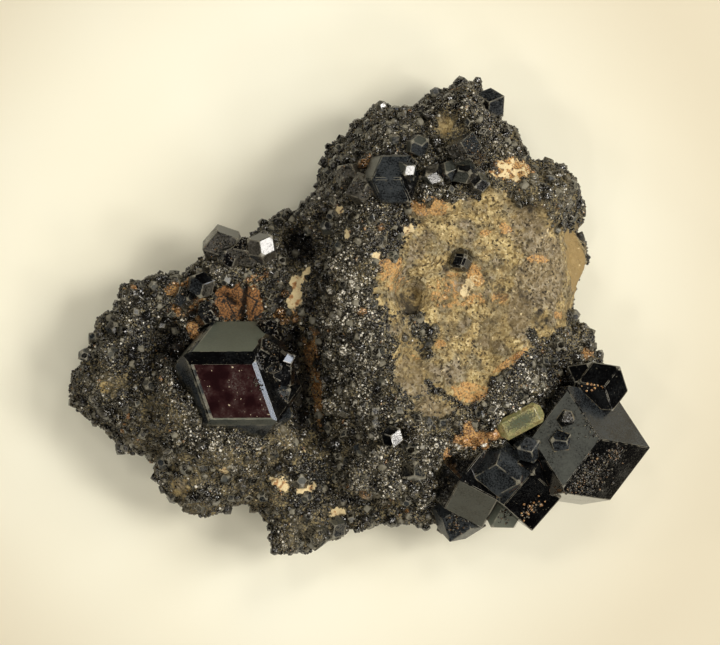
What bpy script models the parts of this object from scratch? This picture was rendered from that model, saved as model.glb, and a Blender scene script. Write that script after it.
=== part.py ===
"""Garnet in matrix: black melanite garnets on a plate of druse-covered skarn rock.

The plate lies on its broken back. Seen from above, X runs across it and Y up it.
Run with: blender --background --python part.py
"""

import itertools
import math
import random
from collections import namedtuple

import bmesh
import bpy
import numpy as np
from mathutils import Matrix, Vector, noise

MM = 0.001

# ---------------------------------------------------------------- driving dimensions, in mm
SLAB_HEIGHT = 8.0
GRID = 1.3
ROCK_TRIANGLES = 4900
BODY_HEIGHT = 19.0
RIM_TOP = 11.5
RIM_FOOT = 7.0
SHOULDER = 7.0
UNDERCUT = 3.0
FOOT_RISE = 15.0
FOOT_PATCH = 9.0
SOCKET_GAP = 0.3
HIDDEN_OVERLAP = 0.4

# The plate's edge seen from above, clockwise, one run of points for each stretch.
WEST_LOBE = [
    (-58, -14), (-57.4, -11.8), (-56.4, -8.2), (-54.8, -5.6), (-53.2, -3.6), (-50.8, -2.2),
]
NORTHWEST_EDGE = [
    (-50.6, 0.4), (-49.2, 3), (-46.4, 5.2), (-43.4, 7.6), (-41, 9.4), (-37.4, 9.2), (-34.4, 9.8),
    (-32.6, 11.8), (-29, 14), (-24.4, 15.8), (-22.6, 16), (-18.2, 19.2), (-15.4, 21.6),
    (-12.8, 22.4), (-10.2, 24.8), (-8.2, 27.4),
]
NORTH_HORN = [
    (-8.4, 30.6), (-7.2, 33.4), (-5.4, 35.6), (-2.6, 37.2), (-0.6, 39), (1.4, 41.2), (3, 43.2),
    (5.4, 43.4), (7.2, 42.4), (8.6, 41.4), (10.8, 42.8), (13, 43), (14.2, 44.4), (16.2, 45.6),
    (19, 47), (20, 48), (22.2, 48.4), (24.2, 47.6), (25, 45.8), (26.4, 43.2),
]
EAST_EDGE = [
    (29, 40.4), (30.8, 39.2), (33, 36.4), (35, 33.4), (37.4, 31.8), (39.8, 31.6), (42, 31),
    (44.2, 29), (45.4, 26), (46, 22.8), (45.6, 20), (44.8, 18.4), (45.6, 16.2), (46.8, 14.2),
    (46.4, 11.4), (46.2, 8.2), (45, 4.8), (44.4, 1.2), (45.6, -1.2), (47, -4), (47.8, -6.4),
    (49.4, -8), (49.8, -11),
]
SOUTHEAST_SHELF = [
    (48.4, -15), (46.2, -20.2), (44, -26), (41, -31.6), (37.6, -35.6), (32.6, -38.2),
    (26.6, -40.2), (21, -42.4), (17, -43.4),
]
SOUTH_EDGE = [
    (15.4, -42.6), (12.8, -42.4), (8.6, -42.6), (4.6, -42.8), (1, -42.8), (-1, -42),
    (-2.2, -42.2), (-2.6, -44), (-4.8, -45.6), (-6.8, -45.2), (-8, -46.8), (-10.4, -48.2),
    (-12.4, -47.8), (-14.6, -48.2), (-16.2, -47.2), (-17, -44.8), (-17.8, -42), (-19.4, -40),
    (-21.8, -38.8), (-24.8, -38.8), (-27.2, -40), (-28.8, -40.8), (-31.4, -40.8),
    (-33.4, -40.4), (-35.8, -39.6), (-37.8, -37.2), (-39.4, -34.8), (-41, -32.8),
    (-42, -30.8), (-41.2, -28.4), (-40.8, -26.2),
]
SOUTHWEST_EDGE = [
    (-42.6, -27.8), (-44.2, -28.4), (-46, -28), (-47.6, -26.4), (-49.6, -24.2), (-51.6, -22),
    (-54.2, -20.8), (-56.6, -18.8), (-57.4, -17), (-57, -15.4),
]
OUTLINE = (
    WEST_LOBE + NORTHWEST_EDGE + NORTH_HORN + EAST_EDGE + SOUTHEAST_SHELF + SOUTH_EDGE
    + SOUTHWEST_EDGE
)

# A landform lifts the upper surface by `rise` around (x, y). A higher `steep` gives it a
# flatter top with a sharper bank; a negative rise sinks a hollow.
Landform = namedtuple("Landform", "name x y across along turn rise steep")
LANDFORMS = [
    Landform("west dome", -46.4, -12.2, 12.0, 14.0, 0, 2.5, 2),
    Landform("furrow west of the great garnet", -38.5, -4.0, 2.4, 4.5, -12, -6.0, 2),
    Landform("collar of the great garnet", -28.0, -20.0, 14.5, 12.0, 0, 10.5, 3),
    Landform("ledge west of the great garnet", -36.8, -11.5, 3.6, 4.5, 15, 4.0, 2),
    Landform("clay hollow", -23.5, 3.5, 7.0, 5.0, 0, -2.5, 2),
    Landform("pit east of the great garnet", -9.8, -12.0, 3.8, 11.0, 6, -9.0, 3),
    Landform("black pit", -11.6, 15.0, 3.6, 3.6, 0, -8.0, 2),
    Landform("northwest ridge", -24.0, 10.5, 13.0, 4.0, 27, 3.0, 2),
    Landform("central plateau", 18.0, 8.0, 25.5, 36.0, 5, 13.0, 6),
    Landform("druse spine", 1.5, 2.0, 7.0, 27.0, 0, 4.5, 3),
    Landform("bare basin", 26.5, 4.5, 17.0, 17.0, 0, -4.5, 3),
    Landform("hole in the basin", 10.8, 5.2, 2.4, 3.2, 20, -5.0, 2),
    Landform("horn tip", 22.0, 43.0, 7.5, 6.0, -20, 4.0, 2),
    Landform("horn saddle", 14.5, 38.0, 4.0, 4.0, 0, -2.0, 2),
    Landform("northwest knob", 5.0, 40.0, 5.0, 5.0, 0, 3.0, 2),
    Landform("east knob", 41.0, 25.0, 7.0, 8.0, 20, 4.0, 2),
    Landform("notch over the east slab", 44.5, 15.5, 3.0, 5.0, 0, -6.0, 2),
    Landform("bank under the prism", 31.5, -18.5, 9.0, 6.0, 28, 4.5, 3),
    Landform("seat of the horn garnet", 25.0, 41.5, 4.0, 4.0, 0, 5.0, 3),
    Landform("south knob", 8.0, -27.5, 9.5, 9.5, 0, 8.0, 3),
    Landform("south skirt", 4.0, -39.5, 13.0, 4.5, 0, -6.0, 2),
    Landform("southwest lobe", -31.4, -33.0, 10.0, 8.0, 0, 1.5, 2),
    Landform("southwest saddle", -21.5, -37.5, 3.5, 5.0, 0, -3.0, 2),
    Landform("south lobe", -10.5, -42.0, 7.0, 7.0, 0, 2.5, 2),
    Landform("southeast shelf", 45.0, -24.0, 12.0, 12.0, 0, -9.0, 3),
    Landform("south shelf", 27.0, -36.5, 15.0, 8.0, -14, -9.0, 3),
]
BARE_BASIN = next(form for form in LANDFORMS if form.name == "bare basin")

# Relief of the druse crust: lumps in the rock, then grains between them.
LUMP_SIZE, LUMP_RISE = 7.0, 2.2
KNOT_SIZE, KNOT_RISE = 3.6, 1.5
EDGE_LUMP_SIZE, EDGE_LUMP = 5.5, 1.6
BACK_SIZE, BACK_RISE = 11.0, 3.4

# A crystal: the centre (for a seated one, z is over the rock's surface), the distance from the centre to its rhombic faces, the compass
# direction of the long diagonal of its uppermost face, how far that face leans and towards
# which compass direction, and how much of each edge the bevel faces take off.
Crystal = namedtuple("Crystal", "x y z reach turn lean towards bevel")

GREAT_GARNET = Crystal(-24.9, -14.0, 19.2, 11.6, -35, 0, 0, 0.3)
# Two edges of the great garnet carry much wider bevels: their directions and cuts.
GREAT_GARNET_BEVELS = {(0, 0.5, 0.866): 0.95, (-0.473, 0.831, 0.289): 1.0}
GREAT_GARNET_SATELLITES = [
    Crystal(-18.2, -8.4, 26.2, 3.2, 6, 6, 200, 0),
    Crystal(-15.8, -11.6, 23.4, 3.2, -60, 25, 20, 0),
    Crystal(-16.4, -15.4, 24.2, 3.0, 40, 30, 330, 0),
    Crystal(-16.2, -18.8, 24.4, 2.7, 75, 18, 300, 0),
    Crystal(-14.0, -8.4, 24.4, 1.6, 20, 22, 20, 0),
    Crystal(-17.4, -2.6, 21.0, 2.2, 50, 25, 60, 0),
    Crystal(-29.8, 0.6, 20.4, 2.2, -20, 20, 300, 0),
]
NORTH_GARNET = [
    Crystal(6.7, 26.7, 0.6, 4.7, -35, 30, 270, 0.14),
    Crystal(9.6, 28.2, 2.6, 1.7, 40, 24, 10, 0),
    Crystal(1.2, 24.8, 0.4, 2.7, 20, 30, 180, 0),
    Crystal(-1.6, 27.6, 0.2, 2.3, -30, 25, 110, 0),
]
ROW_GARNETS = [
    Crystal(14.9, 27.6, 0.4, 1.9, -20, 22, 280, 0),
    Crystal(18.2, 28.4, 0.4, 2.0, 60, 28, 90, 0),
    Crystal(21.0, 28.2, 0.6, 2.2, -50, 30, 100, 0),
    Crystal(23.8, 26.0, 0.2, 1.8, 10, 26, 320, 0),
    Crystal(21.4, 32.0, 0.3, 3.1, 80, 30, 60, 0),
]
SMALL_NORTH_GARNETS = [Crystal(11.8, 33.4, 0.2, 1.9, -60, 25, 250, 0)]
HORN_GARNETS = [Crystal(26.4, 42.2, -0.4, 2.9, 55, 30, 330, 0)]
NORTHWEST_GARNETS = [
    Crystal(-26.6, 13.6, -0.6, 3.8, 15, 15, 120, 0),
    Crystal(-25.2, 11.8, 1.2, 2.0, -75, 20, 250, 0),
    Crystal(-21.8, 12.8, 0.2, 2.8, -40, 30, 230, 0),
    Crystal(-18.8, 13.6, 0.6, 2.6, 62, 26, 20, 0),
]
CLAY_GARNETS = [
    Crystal(-31.0, 6.2, 0.4, 2.4, -70, 22, 200, 0),
    Crystal(-34.6, 3.6, 0.0, 1.9, 10, 22, 200, 0),
]
BASIN_GARNET = [Crystal(20.4, 11.2, -0.6, 2.1, 30, 20, 200, 0.2)]
KNOB_GARNET = [Crystal(7.0, -23.4, 0.8, 2.0, 72, 24, 350, 0)]
SOUTHEAST_GARNETS = [
    Crystal(43.5, -25.7, 18.0, 10.65, 88, 16.6, 145, 0.06),
    Crystal(33.5, -31.4, 17.4, 8.06, 95, 41, 282, 0.06),
    Crystal(22.9, -31.5, 16.2, 7.7, -73, 47, 267, 0.08),
    Crystal(29.2, -30.4, 22.4, 4.8, -75, 30, 60, 0),
    Crystal(33.6, -25.8, 26.4, 2.4, 20, 20, 90, 0),
    Crystal(40.2, -24.6, 27.2, 2.6, -40, 24, 250, 0),
    Crystal(41.2, -20.2, 27.0, 2.1, 30, 20, 60, 0),
    Crystal(20.4, -40.0, 13.0, 4.2, 70, 20, 250, 0),
    Crystal(29.4, -38.4, 14.2, 3.8, 30, 30, 290, 0),
    Crystal(48.4, -13.8, 21.4, 4.5, 140, 33, 232, 0),
    Crystal(45.0, -12.4, 20.8, 3.2, -30, 30, 120, 0),
]
# How much farther out than its neighbours the uppermost face of each large garnet grew.
GREAT_TOP_STEP, SOUTHEAST_TOP_STEP = 0.5, 1.0

PRISM_PLACE = (32.0, -20.4)
PRISM_SEAT = 0.7
PRISM_LENGTH, PRISM_WIDTH, PRISM_DEPTH, PRISM_TURN = 9.6, 4.4, 3.6, 28.0
PRISM_POINT = 38.0

# Garnets of 2 to 5 mm fused to the rock they grew from. Their z is left to the surface.
FUSED_SEED = 11
FUSED_COUNT = 38
FUSED_REACH = (0.9, 1.7)
FUSED_SPACING = 4.6
FUSED_LARGER = [
    Crystal(3.6, -26.6, 0, 1.9, 10, 25, 30, 0),
    Crystal(11.2, -29.6, 0, 2.3, 50, 30, 200, 0),
    Crystal(13.4, -34.4, 0, 2.9, 80, 35, 260, 0),
    Crystal(6.6, -32.6, 0, 2.6, 35, 40, 270, 0),
    Crystal(15.6, -25.4, 0, 2.1, 65, 20, 90, 0),
    Crystal(1.2, -31.6, 0, 2.2, 25, 30, 210, 0),
    Crystal(-13.6, -44.2, 0, 2.7, 25, 30, 250, 0),
    Crystal(-8.2, -43.6, 0, 2.4, 75, 25, 300, 0),
    Crystal(-4.4, -42.2, 0, 2.1, 45, 30, 330, 0),
    Crystal(-50.2, -1.2, 0, 2.2, 15, 35, 140, 0),
    Crystal(-44.8, 4.4, 0, 2.3, 60, 35, 120, 0),
    Crystal(-8.0, 21.0, 0, 2.2, 40, 25, 120, 0),
    Crystal(13.6, 23.4, 0, 1.9, 70, 20, 40, 0),
    Crystal(44.4, -4.0, 0, 2.4, 20, 35, 30, 0),
]
FUSED_DEPTH = 0.25

BLACK_GARNET = (0.012, 0.013, 0.014)
PALE_GREEN = (0.36, 0.35, 0.17)
ROCK_BROWN = (0.075, 0.066, 0.048)


# ---------------------------------------------------------------- scene and materials
def clear_scene():
    for obj in list(bpy.data.objects):
        bpy.data.objects.remove(obj, do_unlink=True)


def make_collection(name):
    collection = bpy.data.collections.new(name)
    bpy.context.scene.collection.children.link(collection)
    return collection


def make_material(name, colour, roughness):
    material = bpy.data.materials.new(name)
    material.use_nodes = True
    shader = material.node_tree.nodes["Principled BSDF"]
    shader.inputs["Base Color"].default_value = (*colour, 1.0)
    shader.inputs["Roughness"].default_value = roughness
    shader.inputs["Metallic"].default_value = 0.0
    return material


def add_object(name, mesh, collection, material=None):
    obj = bpy.data.objects.new(name, mesh)
    collection.objects.link(obj)
    if material:
        mesh.materials.clear()
        mesh.materials.append(material)
    return obj


def baked_mesh(obj):
    """The object's mesh with its modifiers worked in."""
    bpy.context.view_layer.update()
    graph = bpy.context.evaluated_depsgraph_get()
    return bpy.data.meshes.new_from_object(obj.evaluated_get(graph))


def make_tool(obj):
    obj.hide_render = True
    obj.display_type = "WIRE"
    return obj


# ---------------------------------------------------------------- crystals
def compass(degrees):
    """The level unit vector of a compass direction, anticlockwise from +X."""
    angle = math.radians(degrees)
    return Vector((math.cos(angle), math.sin(angle), 0))


def signed_permutations(numbers):
    found = set()
    for order in itertools.permutations(numbers):
        for signs in itertools.product((1, -1), repeat=3):
            found.add(tuple(sign * value for sign, value in zip(signs, order)))
    return [Vector(v).normalized() for v in sorted(found)]


RHOMBIC_NORMALS = signed_permutations((1, 1, 0))
BEVEL_NORMALS = signed_permutations((2, 1, 1))
# Where the bevel planes would just touch the dodecahedron's edges, for a reach of 1.
EDGE_REACH = 2 / math.sqrt(3)


def attitude(crystal):
    """The rotation that stands a crystal on the rock as its turn and lean say."""
    top_face = Vector((1, 1, 0)).normalized()
    long_diagonal = Vector((1, -1, 0)).normalized()
    short_diagonal = top_face.cross(long_diagonal)
    level = Matrix((long_diagonal, short_diagonal, top_face))
    turned = Matrix.Rotation(math.radians(crystal.turn), 3, "Z")
    hinge = Vector((0, 0, 1)).cross(compass(crystal.towards))
    leaned = Matrix.Rotation(math.radians(crystal.lean), 3, hinge)
    return leaned @ turned @ level


def crystal_planes(crystal, bevel_sizes=None, top_step=0.0):
    """(normal, distance) of each face of a crystal, in the plate's axes."""
    rotation = attitude(crystal)
    planes = [(rotation @ n, crystal.reach) for n in RHOMBIC_NORMALS]
    uppermost = max(range(len(planes)), key=lambda k: planes[k][0].z)
    top = planes[uppermost][0]
    planes[uppermost] = (top, crystal.reach + top_step)
    for normal in (rotation @ n for n in BEVEL_NORMALS):
        size = crystal.bevel
        for towards, wider in (bevel_sizes or {}).items():
            if normal.dot(Vector(towards).normalized()) > 0.97:
                size = wider
        edge = crystal.reach + (top_step / 2 if normal.dot(top) > 0.8 else 0)
        if size > 0:
            planes.append((normal, edge * EDGE_REACH - size))
    return planes


def cut_to_planes(centre, planes, grow=0.0):
    """A convex mesh: a cube cut down by each plane in turn. Sizes in mm."""
    bm = bmesh.new()
    largest = max(distance for _, distance in planes)
    bmesh.ops.create_cube(bm, size=4 * largest * MM)
    for normal, distance in planes:
        cut = bmesh.ops.bisect_plane(
            bm,
            geom=bm.verts[:] + bm.edges[:] + bm.faces[:],
            dist=1e-7,
            plane_co=normal * (distance + grow) * MM,
            plane_no=normal,
            clear_outer=True,
        )
        rim = [e for e in cut["geom_cut"] if isinstance(e, bmesh.types.BMEdge)]
        if rim:
            bmesh.ops.edgeloop_fill(bm, edges=rim)
    bmesh.ops.remove_doubles(bm, verts=bm.verts[:], dist=2e-6)
    bmesh.ops.dissolve_degenerate(bm, edges=bm.edges[:], dist=2e-6)
    bmesh.ops.recalc_face_normals(bm, faces=bm.faces[:])
    bmesh.ops.translate(bm, verts=bm.verts[:], vec=Vector(centre) * MM)
    mesh = bpy.data.meshes.new("crystal")
    bm.to_mesh(mesh)
    bm.free()
    return mesh


def crystal_mesh(crystal, grow=0.0, bevel_sizes=None, top_step=0.0):
    planes = crystal_planes(crystal, bevel_sizes, top_step)
    return cut_to_planes((crystal.x, crystal.y, crystal.z), planes, grow)


def united(name, meshes, tools, collection, material=None):
    """One object from meshes that overlap: the first with the others joined to it."""
    first = add_object(name, meshes[0], collection, material)
    for number, mesh in enumerate(meshes[1:], start=1):
        other = make_tool(add_object(f"{name}_join_{number}", mesh, tools))
        modifier = first.modifiers.new(f"Join {number}", "BOOLEAN")
        modifier.operation = "UNION"
        modifier.solver = "EXACT"
        modifier.object = other
    return first


def great_garnet_meshes(grow=0.0):
    meshes = [crystal_mesh(GREAT_GARNET, grow, GREAT_GARNET_BEVELS, GREAT_TOP_STEP)]
    return meshes + [crystal_mesh(c, grow) for c in GREAT_GARNET_SATELLITES]


def southeast_garnet_meshes(grow=0.0):
    first = crystal_mesh(SOUTHEAST_GARNETS[0], grow, top_step=SOUTHEAST_TOP_STEP)
    return [first] + [crystal_mesh(c, grow) for c in SOUTHEAST_GARNETS[1:]]


def prism_meshes(grow=0.0):
    """The pale green prism: six sides along its length and a low point at each end."""
    along = compass(PRISM_TURN)
    side = compass(PRISM_TURN + 90)
    up = Vector((0, 0, 1))
    slope = math.radians(PRISM_POINT)
    planes = [(up, PRISM_DEPTH / 2), (-up, PRISM_DEPTH / 2)]
    for sign in (1, -1):
        for rise in (1, -1):
            flank = side * sign * math.cos(slope) + up * rise * math.sin(slope)
            planes.append((flank, PRISM_WIDTH / 2))
            end = along * sign * math.cos(slope) + up * rise * math.sin(slope)
            planes.append((end, PRISM_LENGTH / 2 - 0.9))
        planes.append((side * sign, PRISM_WIDTH / 2))
        planes.append((along * sign, PRISM_LENGTH / 2))
        slant = along * sign + side * sign * 0.8
        planes.append((slant.normalized(), PRISM_LENGTH / 2 * 0.9))
        slant = along * sign - side * sign * 0.8
        planes.append((slant.normalized(), PRISM_LENGTH / 2 * 0.9))
    centre = (*PRISM_PLACE, surface_height(*PRISM_PLACE) + PRISM_SEAT)
    return [cut_to_planes(centre, planes, grow)]


def seated(crystals):
    """The crystals with each z raised from the rock's surface to the plate's axes."""
    return [c._replace(z=surface_height(c.x, c.y) + c.z) for c in crystals]


def plain_garnets(crystals):
    return lambda grow=0.0: [crystal_mesh(c, grow) for c in seated(crystals)]


# ---------------------------------------------------------------- the rock's surface
def outline_distance(points):
    """(distance to the plate's edge, unit vector away from it) for rows of x, y in mm."""
    corners = np.array(OUTLINE, float)
    ends = np.roll(corners, -1, axis=0)
    run = ends - corners
    share = ((points[:, None] - corners) * run).sum(2) / (run**2).sum(1)
    nearest = corners + np.clip(share, 0, 1)[..., None] * run
    away = points[:, None] - nearest
    distance = np.linalg.norm(away, axis=2)
    best = distance.argmin(1)
    rows = np.arange(len(points))
    closest = distance[rows, best]
    inward = np.stack([run[best, 1], -run[best, 0]], axis=1)
    inward /= np.linalg.norm(inward, axis=1, keepdims=True)
    return closest, inward


def landform_height(form, x, y):
    angle = math.radians(form.turn)
    dx, dy = x - form.x, y - form.y
    u = (dx * math.cos(angle) + dy * math.sin(angle)) / form.across
    v = (dy * math.cos(angle) - dx * math.sin(angle)) / form.along
    return form.rise * math.exp(-((u * u + v * v) ** (form.steep / 2)))


def basin_share(x, y):
    """1 in the middle of the bare basin, where no druse grew, and 0 outside it."""
    return min(1.0, landform_height(BARE_BASIN, x, y) / BARE_BASIN.rise * 1.4)


def druse_relief(x, y):
    """Knots and lumps of the crust, in mm, which the bare basin mostly lacks."""
    cell = noise.voronoi(Vector((x, y, 0)) / KNOT_SIZE)[0][0]
    knots = KNOT_RISE * (0.5 - cell)
    lumps = LUMP_RISE * noise.noise(Vector((x, y, 7)) / LUMP_SIZE)
    return lumps + knots * (1 - 0.8 * basin_share(x, y))


def top_height(x, y, edge):
    inner = BODY_HEIGHT + sum(landform_height(form, x, y) for form in LANDFORMS)
    inset = 1 - min(edge / SHOULDER, 1)
    shoulder = math.sqrt(1 - inset * inset)
    return RIM_TOP + (inner - RIM_TOP) * shoulder + druse_relief(x, y)


def foot_height(x, y, edge):
    inset = 1 - min(edge / FOOT_RISE, 1)
    lift = RIM_FOOT * inset * inset
    off_patch = min(1.0, max(0.0, math.hypot(x, y) / FOOT_PATCH - 1))
    pits = BACK_RISE * noise.noise(Vector((x, y, 31)) / BACK_SIZE) - 0.5
    chips = 0.8 * noise.noise(Vector((x, y, 57)) / KNOT_SIZE)
    return max(0.0, lift + off_patch * pits + (off_patch * chips if lift > 0 else 0))


def rock_mesh():
    """The plate: a slab of its outline, remeshed and drawn to its surfaces."""
    curve = bpy.data.curves.new("plate outline", "CURVE")
    curve.dimensions = "2D"
    curve.fill_mode = "BOTH"
    curve.extrude = SLAB_HEIGHT / 2 * MM
    spline = curve.splines.new("POLY")
    spline.points.add(len(OUTLINE) - 1)
    for point, (x, y) in zip(spline.points, OUTLINE):
        point.co = (x * MM, y * MM, 0, 1)
    spline.use_cyclic_u = True
    slab = bpy.data.objects.new("plate slab", curve)
    bpy.context.scene.collection.objects.link(slab)
    closed = bpy.data.objects.new("plate slab closed", baked_mesh(slab))
    bpy.data.objects.remove(slab)
    bpy.context.scene.collection.objects.link(closed)
    bm = bmesh.new()
    bm.from_mesh(closed.data)
    bmesh.ops.remove_doubles(bm, verts=bm.verts[:], dist=1e-6)
    bm.to_mesh(closed.data)
    bm.free()
    remesh = closed.modifiers.new("Even grid", "REMESH")
    remesh.mode = "VOXEL"
    remesh.voxel_size = GRID * MM
    closed.data = baked_mesh(closed)
    closed.modifiers.clear()
    draw_to_surfaces(closed.data)
    decimate = closed.modifiers.new("Fewer facets", "DECIMATE")
    decimate.ratio = ROCK_TRIANGLES / (2 * len(closed.data.polygons))
    mesh = baked_mesh(closed)
    bpy.data.objects.remove(closed)
    for vertex in mesh.vertices:
        vertex.co.z = max(vertex.co.z, 0.0)
    return mesh


def draw_to_surfaces(mesh):
    places = np.array([v.co for v in mesh.vertices]) / MM
    edge, inward = outline_distance(places[:, :2])
    for vertex, (x, y, z), d, (nx, ny) in zip(mesh.vertices, places, edge, inward):
        share = min(max(1.05 * z / SLAB_HEIGHT + 0.5, 0.0), 1.0)
        top, foot = top_height(x, y, d), foot_height(x, y, d)
        height = foot + (max(top, foot + 1.0) - foot) * share
        near_edge = max(0.0, 1 - d / FOOT_RISE)
        lump = EDGE_LUMP * noise.noise(Vector((x, y, height)) / EDGE_LUMP_SIZE)
        shift = (UNDERCUT * (1 - share) ** 2 + lump + EDGE_LUMP * 0.4) * near_edge
        vertex.co = Vector((x + nx * shift, y + ny * shift, height)) * MM


def fused_crystals():
    """Small garnets standing out of the crust, clear of each other and of the basin."""
    rng = random.Random(FUSED_SEED)
    large = [GREAT_GARNET] + [c for group in GARNET_NODES.values() for c in group]
    taken = [(c.x, c.y, c.reach * 1.1) for c in large + SOUTHEAST_GARNETS + FUSED_LARGER]
    placed = list(FUSED_LARGER)
    for _ in range(4000):
        if len(placed) >= FUSED_COUNT:
            break
        x, y = rng.uniform(-56, 48), rng.uniform(-46, 46)
        reach = rng.uniform(*FUSED_REACH)
        crowded = any(math.hypot(x - a, y - b) < r + FUSED_SPACING for a, b, r in taken)
        if crowded or not inside_outline(x, y) or basin_share(x, y) > 0.05:
            continue
        if outline_distance(np.array([(x, y)]))[0][0] < 3.5:
            continue
        turn, lean, towards = rng.uniform(0, 180), rng.uniform(5, 40), rng.uniform(0, 360)
        placed.append(Crystal(x, y, 0, reach, turn, lean, towards, 0))
        taken.append((x, y, reach))
    return seated([c._replace(z=-c.reach * FUSED_DEPTH) for c in placed])


def surface_height(x, y):
    return top_height(x, y, outline_distance(np.array([(x, y)]))[0][0])


def inside_outline(x, y):
    inside = False
    for (x0, y0), (x1, y1) in zip(OUTLINE, OUTLINE[1:] + OUTLINE[:1]):
        if (y0 > y) != (y1 > y) and x < x0 + (y - y0) * (x1 - x0) / (y1 - y0):
            inside = not inside
    return inside


# ---------------------------------------------------------------- the specimen
GARNET_NODES = {
    "north_garnet": NORTH_GARNET,
    "row_garnets": ROW_GARNETS,
    "small_north_garnet": SMALL_NORTH_GARNETS,
    "horn_garnet": HORN_GARNETS,
    "northwest_garnets": NORTHWEST_GARNETS,
    "clay_garnets": CLAY_GARNETS,
    "basin_garnet": BASIN_GARNET,
    "knob_garnet": KNOB_GARNET,
}


def build():
    clear_scene()
    specimen = make_collection("garnet_in_matrix")
    tools = make_collection("cutters")
    garnet = make_material("black garnet", BLACK_GARNET, 0.12)
    green = make_material("pale green prism", PALE_GREEN, 0.25)
    rock = make_material("druse on skarn", ROCK_BROWN, 0.75)

    makers = {name: plain_garnets(group) for name, group in GARNET_NODES.items()}
    makers["great_garnet"] = great_garnet_meshes
    makers["southeast_garnets"] = southeast_garnet_meshes
    makers["green_prism"] = prism_meshes

    matrix = add_object("matrix", rock_mesh(), specimen, rock)
    for number, crystal in enumerate(fused_crystals(), start=1):
        small = add_object(f"fused_garnet_{number}", crystal_mesh(crystal), tools)
        fuse = matrix.modifiers.new(f"Fuse {number}", "BOOLEAN")
        fuse.operation = "UNION"
        fuse.object = make_tool(small)
    for name, maker in makers.items():
        united(name, maker(), tools, specimen, green if name == "green_prism" else garnet)
        socket = make_tool(united(f"{name}_socket", maker(SOCKET_GAP), tools, tools))
        cut = matrix.modifiers.new(f"Socket of {name}", "BOOLEAN")
        cut.operation = "DIFFERENCE"
        cut.object = socket


build()
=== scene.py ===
"""Garnet in matrix: black melanite garnets on a plate of druse-covered skarn.

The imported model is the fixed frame. Around it this script builds the finished look: the
crust of small crystals, the bare weathered hollow, the garnets' growth faces, the pale
prism, and the paper, light and camera of the studio. Lengths are in mm until a mesh is
made, when MM turns them to metres.
"""

import itertools
import logging
import math
import sys
from collections.abc import Callable, Iterable, Iterator, Sequence
from contextlib import contextmanager
from dataclasses import dataclass, field, replace
from enum import Enum
from functools import partial

import bmesh
import bpy
import numpy as np
from mathutils import Matrix, Vector, noise
from mathutils.bvhtree import BVHTree


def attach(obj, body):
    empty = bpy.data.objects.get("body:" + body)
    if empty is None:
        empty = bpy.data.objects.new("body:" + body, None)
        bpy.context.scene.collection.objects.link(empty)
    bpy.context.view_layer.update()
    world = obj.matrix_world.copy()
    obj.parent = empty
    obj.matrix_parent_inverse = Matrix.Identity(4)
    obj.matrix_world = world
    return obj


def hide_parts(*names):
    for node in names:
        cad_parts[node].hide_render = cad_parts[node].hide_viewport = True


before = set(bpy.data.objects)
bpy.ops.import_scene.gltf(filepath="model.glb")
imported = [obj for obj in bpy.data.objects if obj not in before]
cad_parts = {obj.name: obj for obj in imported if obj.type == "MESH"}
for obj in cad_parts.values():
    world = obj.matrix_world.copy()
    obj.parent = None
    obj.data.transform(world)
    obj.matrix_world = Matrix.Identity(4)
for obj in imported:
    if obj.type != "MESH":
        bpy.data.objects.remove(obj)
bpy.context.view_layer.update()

MM = 0.001
# In metres: corners nearer than a weld are one, and a cut counts a corner as on it.
WELD, FINE_WELD, CUT_SLACK = 2e-6, 1e-6, 1e-7
ROOT = "root"
LOG = logging.getLogger("garnet in matrix")


# ---------------------------------------------------------------- node and colour helpers

Socket = bpy.types.NodeSocket
Adder = Callable[..., Socket]


def linear(colour: str) -> tuple[float, float, float, float]:
    """Turns an sRGB hex colour to linear.

    Args:
        colour: The colour as "#rrggbb".

    Returns:
        Linear red, green, blue and an alpha of 1.
    """
    parts = [int(colour[k : k + 2], 16) / 255 for k in (1, 3, 5)]
    low = [p / 12.92 if p <= 0.04045 else ((p + 0.055) / 1.055) ** 2.4 for p in parts]
    return (*low, 1.0)


def per_mm(size: float) -> float:
    """Texture scale, in features a metre, of a pattern whose grain is `size` mm."""
    return 1 / (size * MM)


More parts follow.
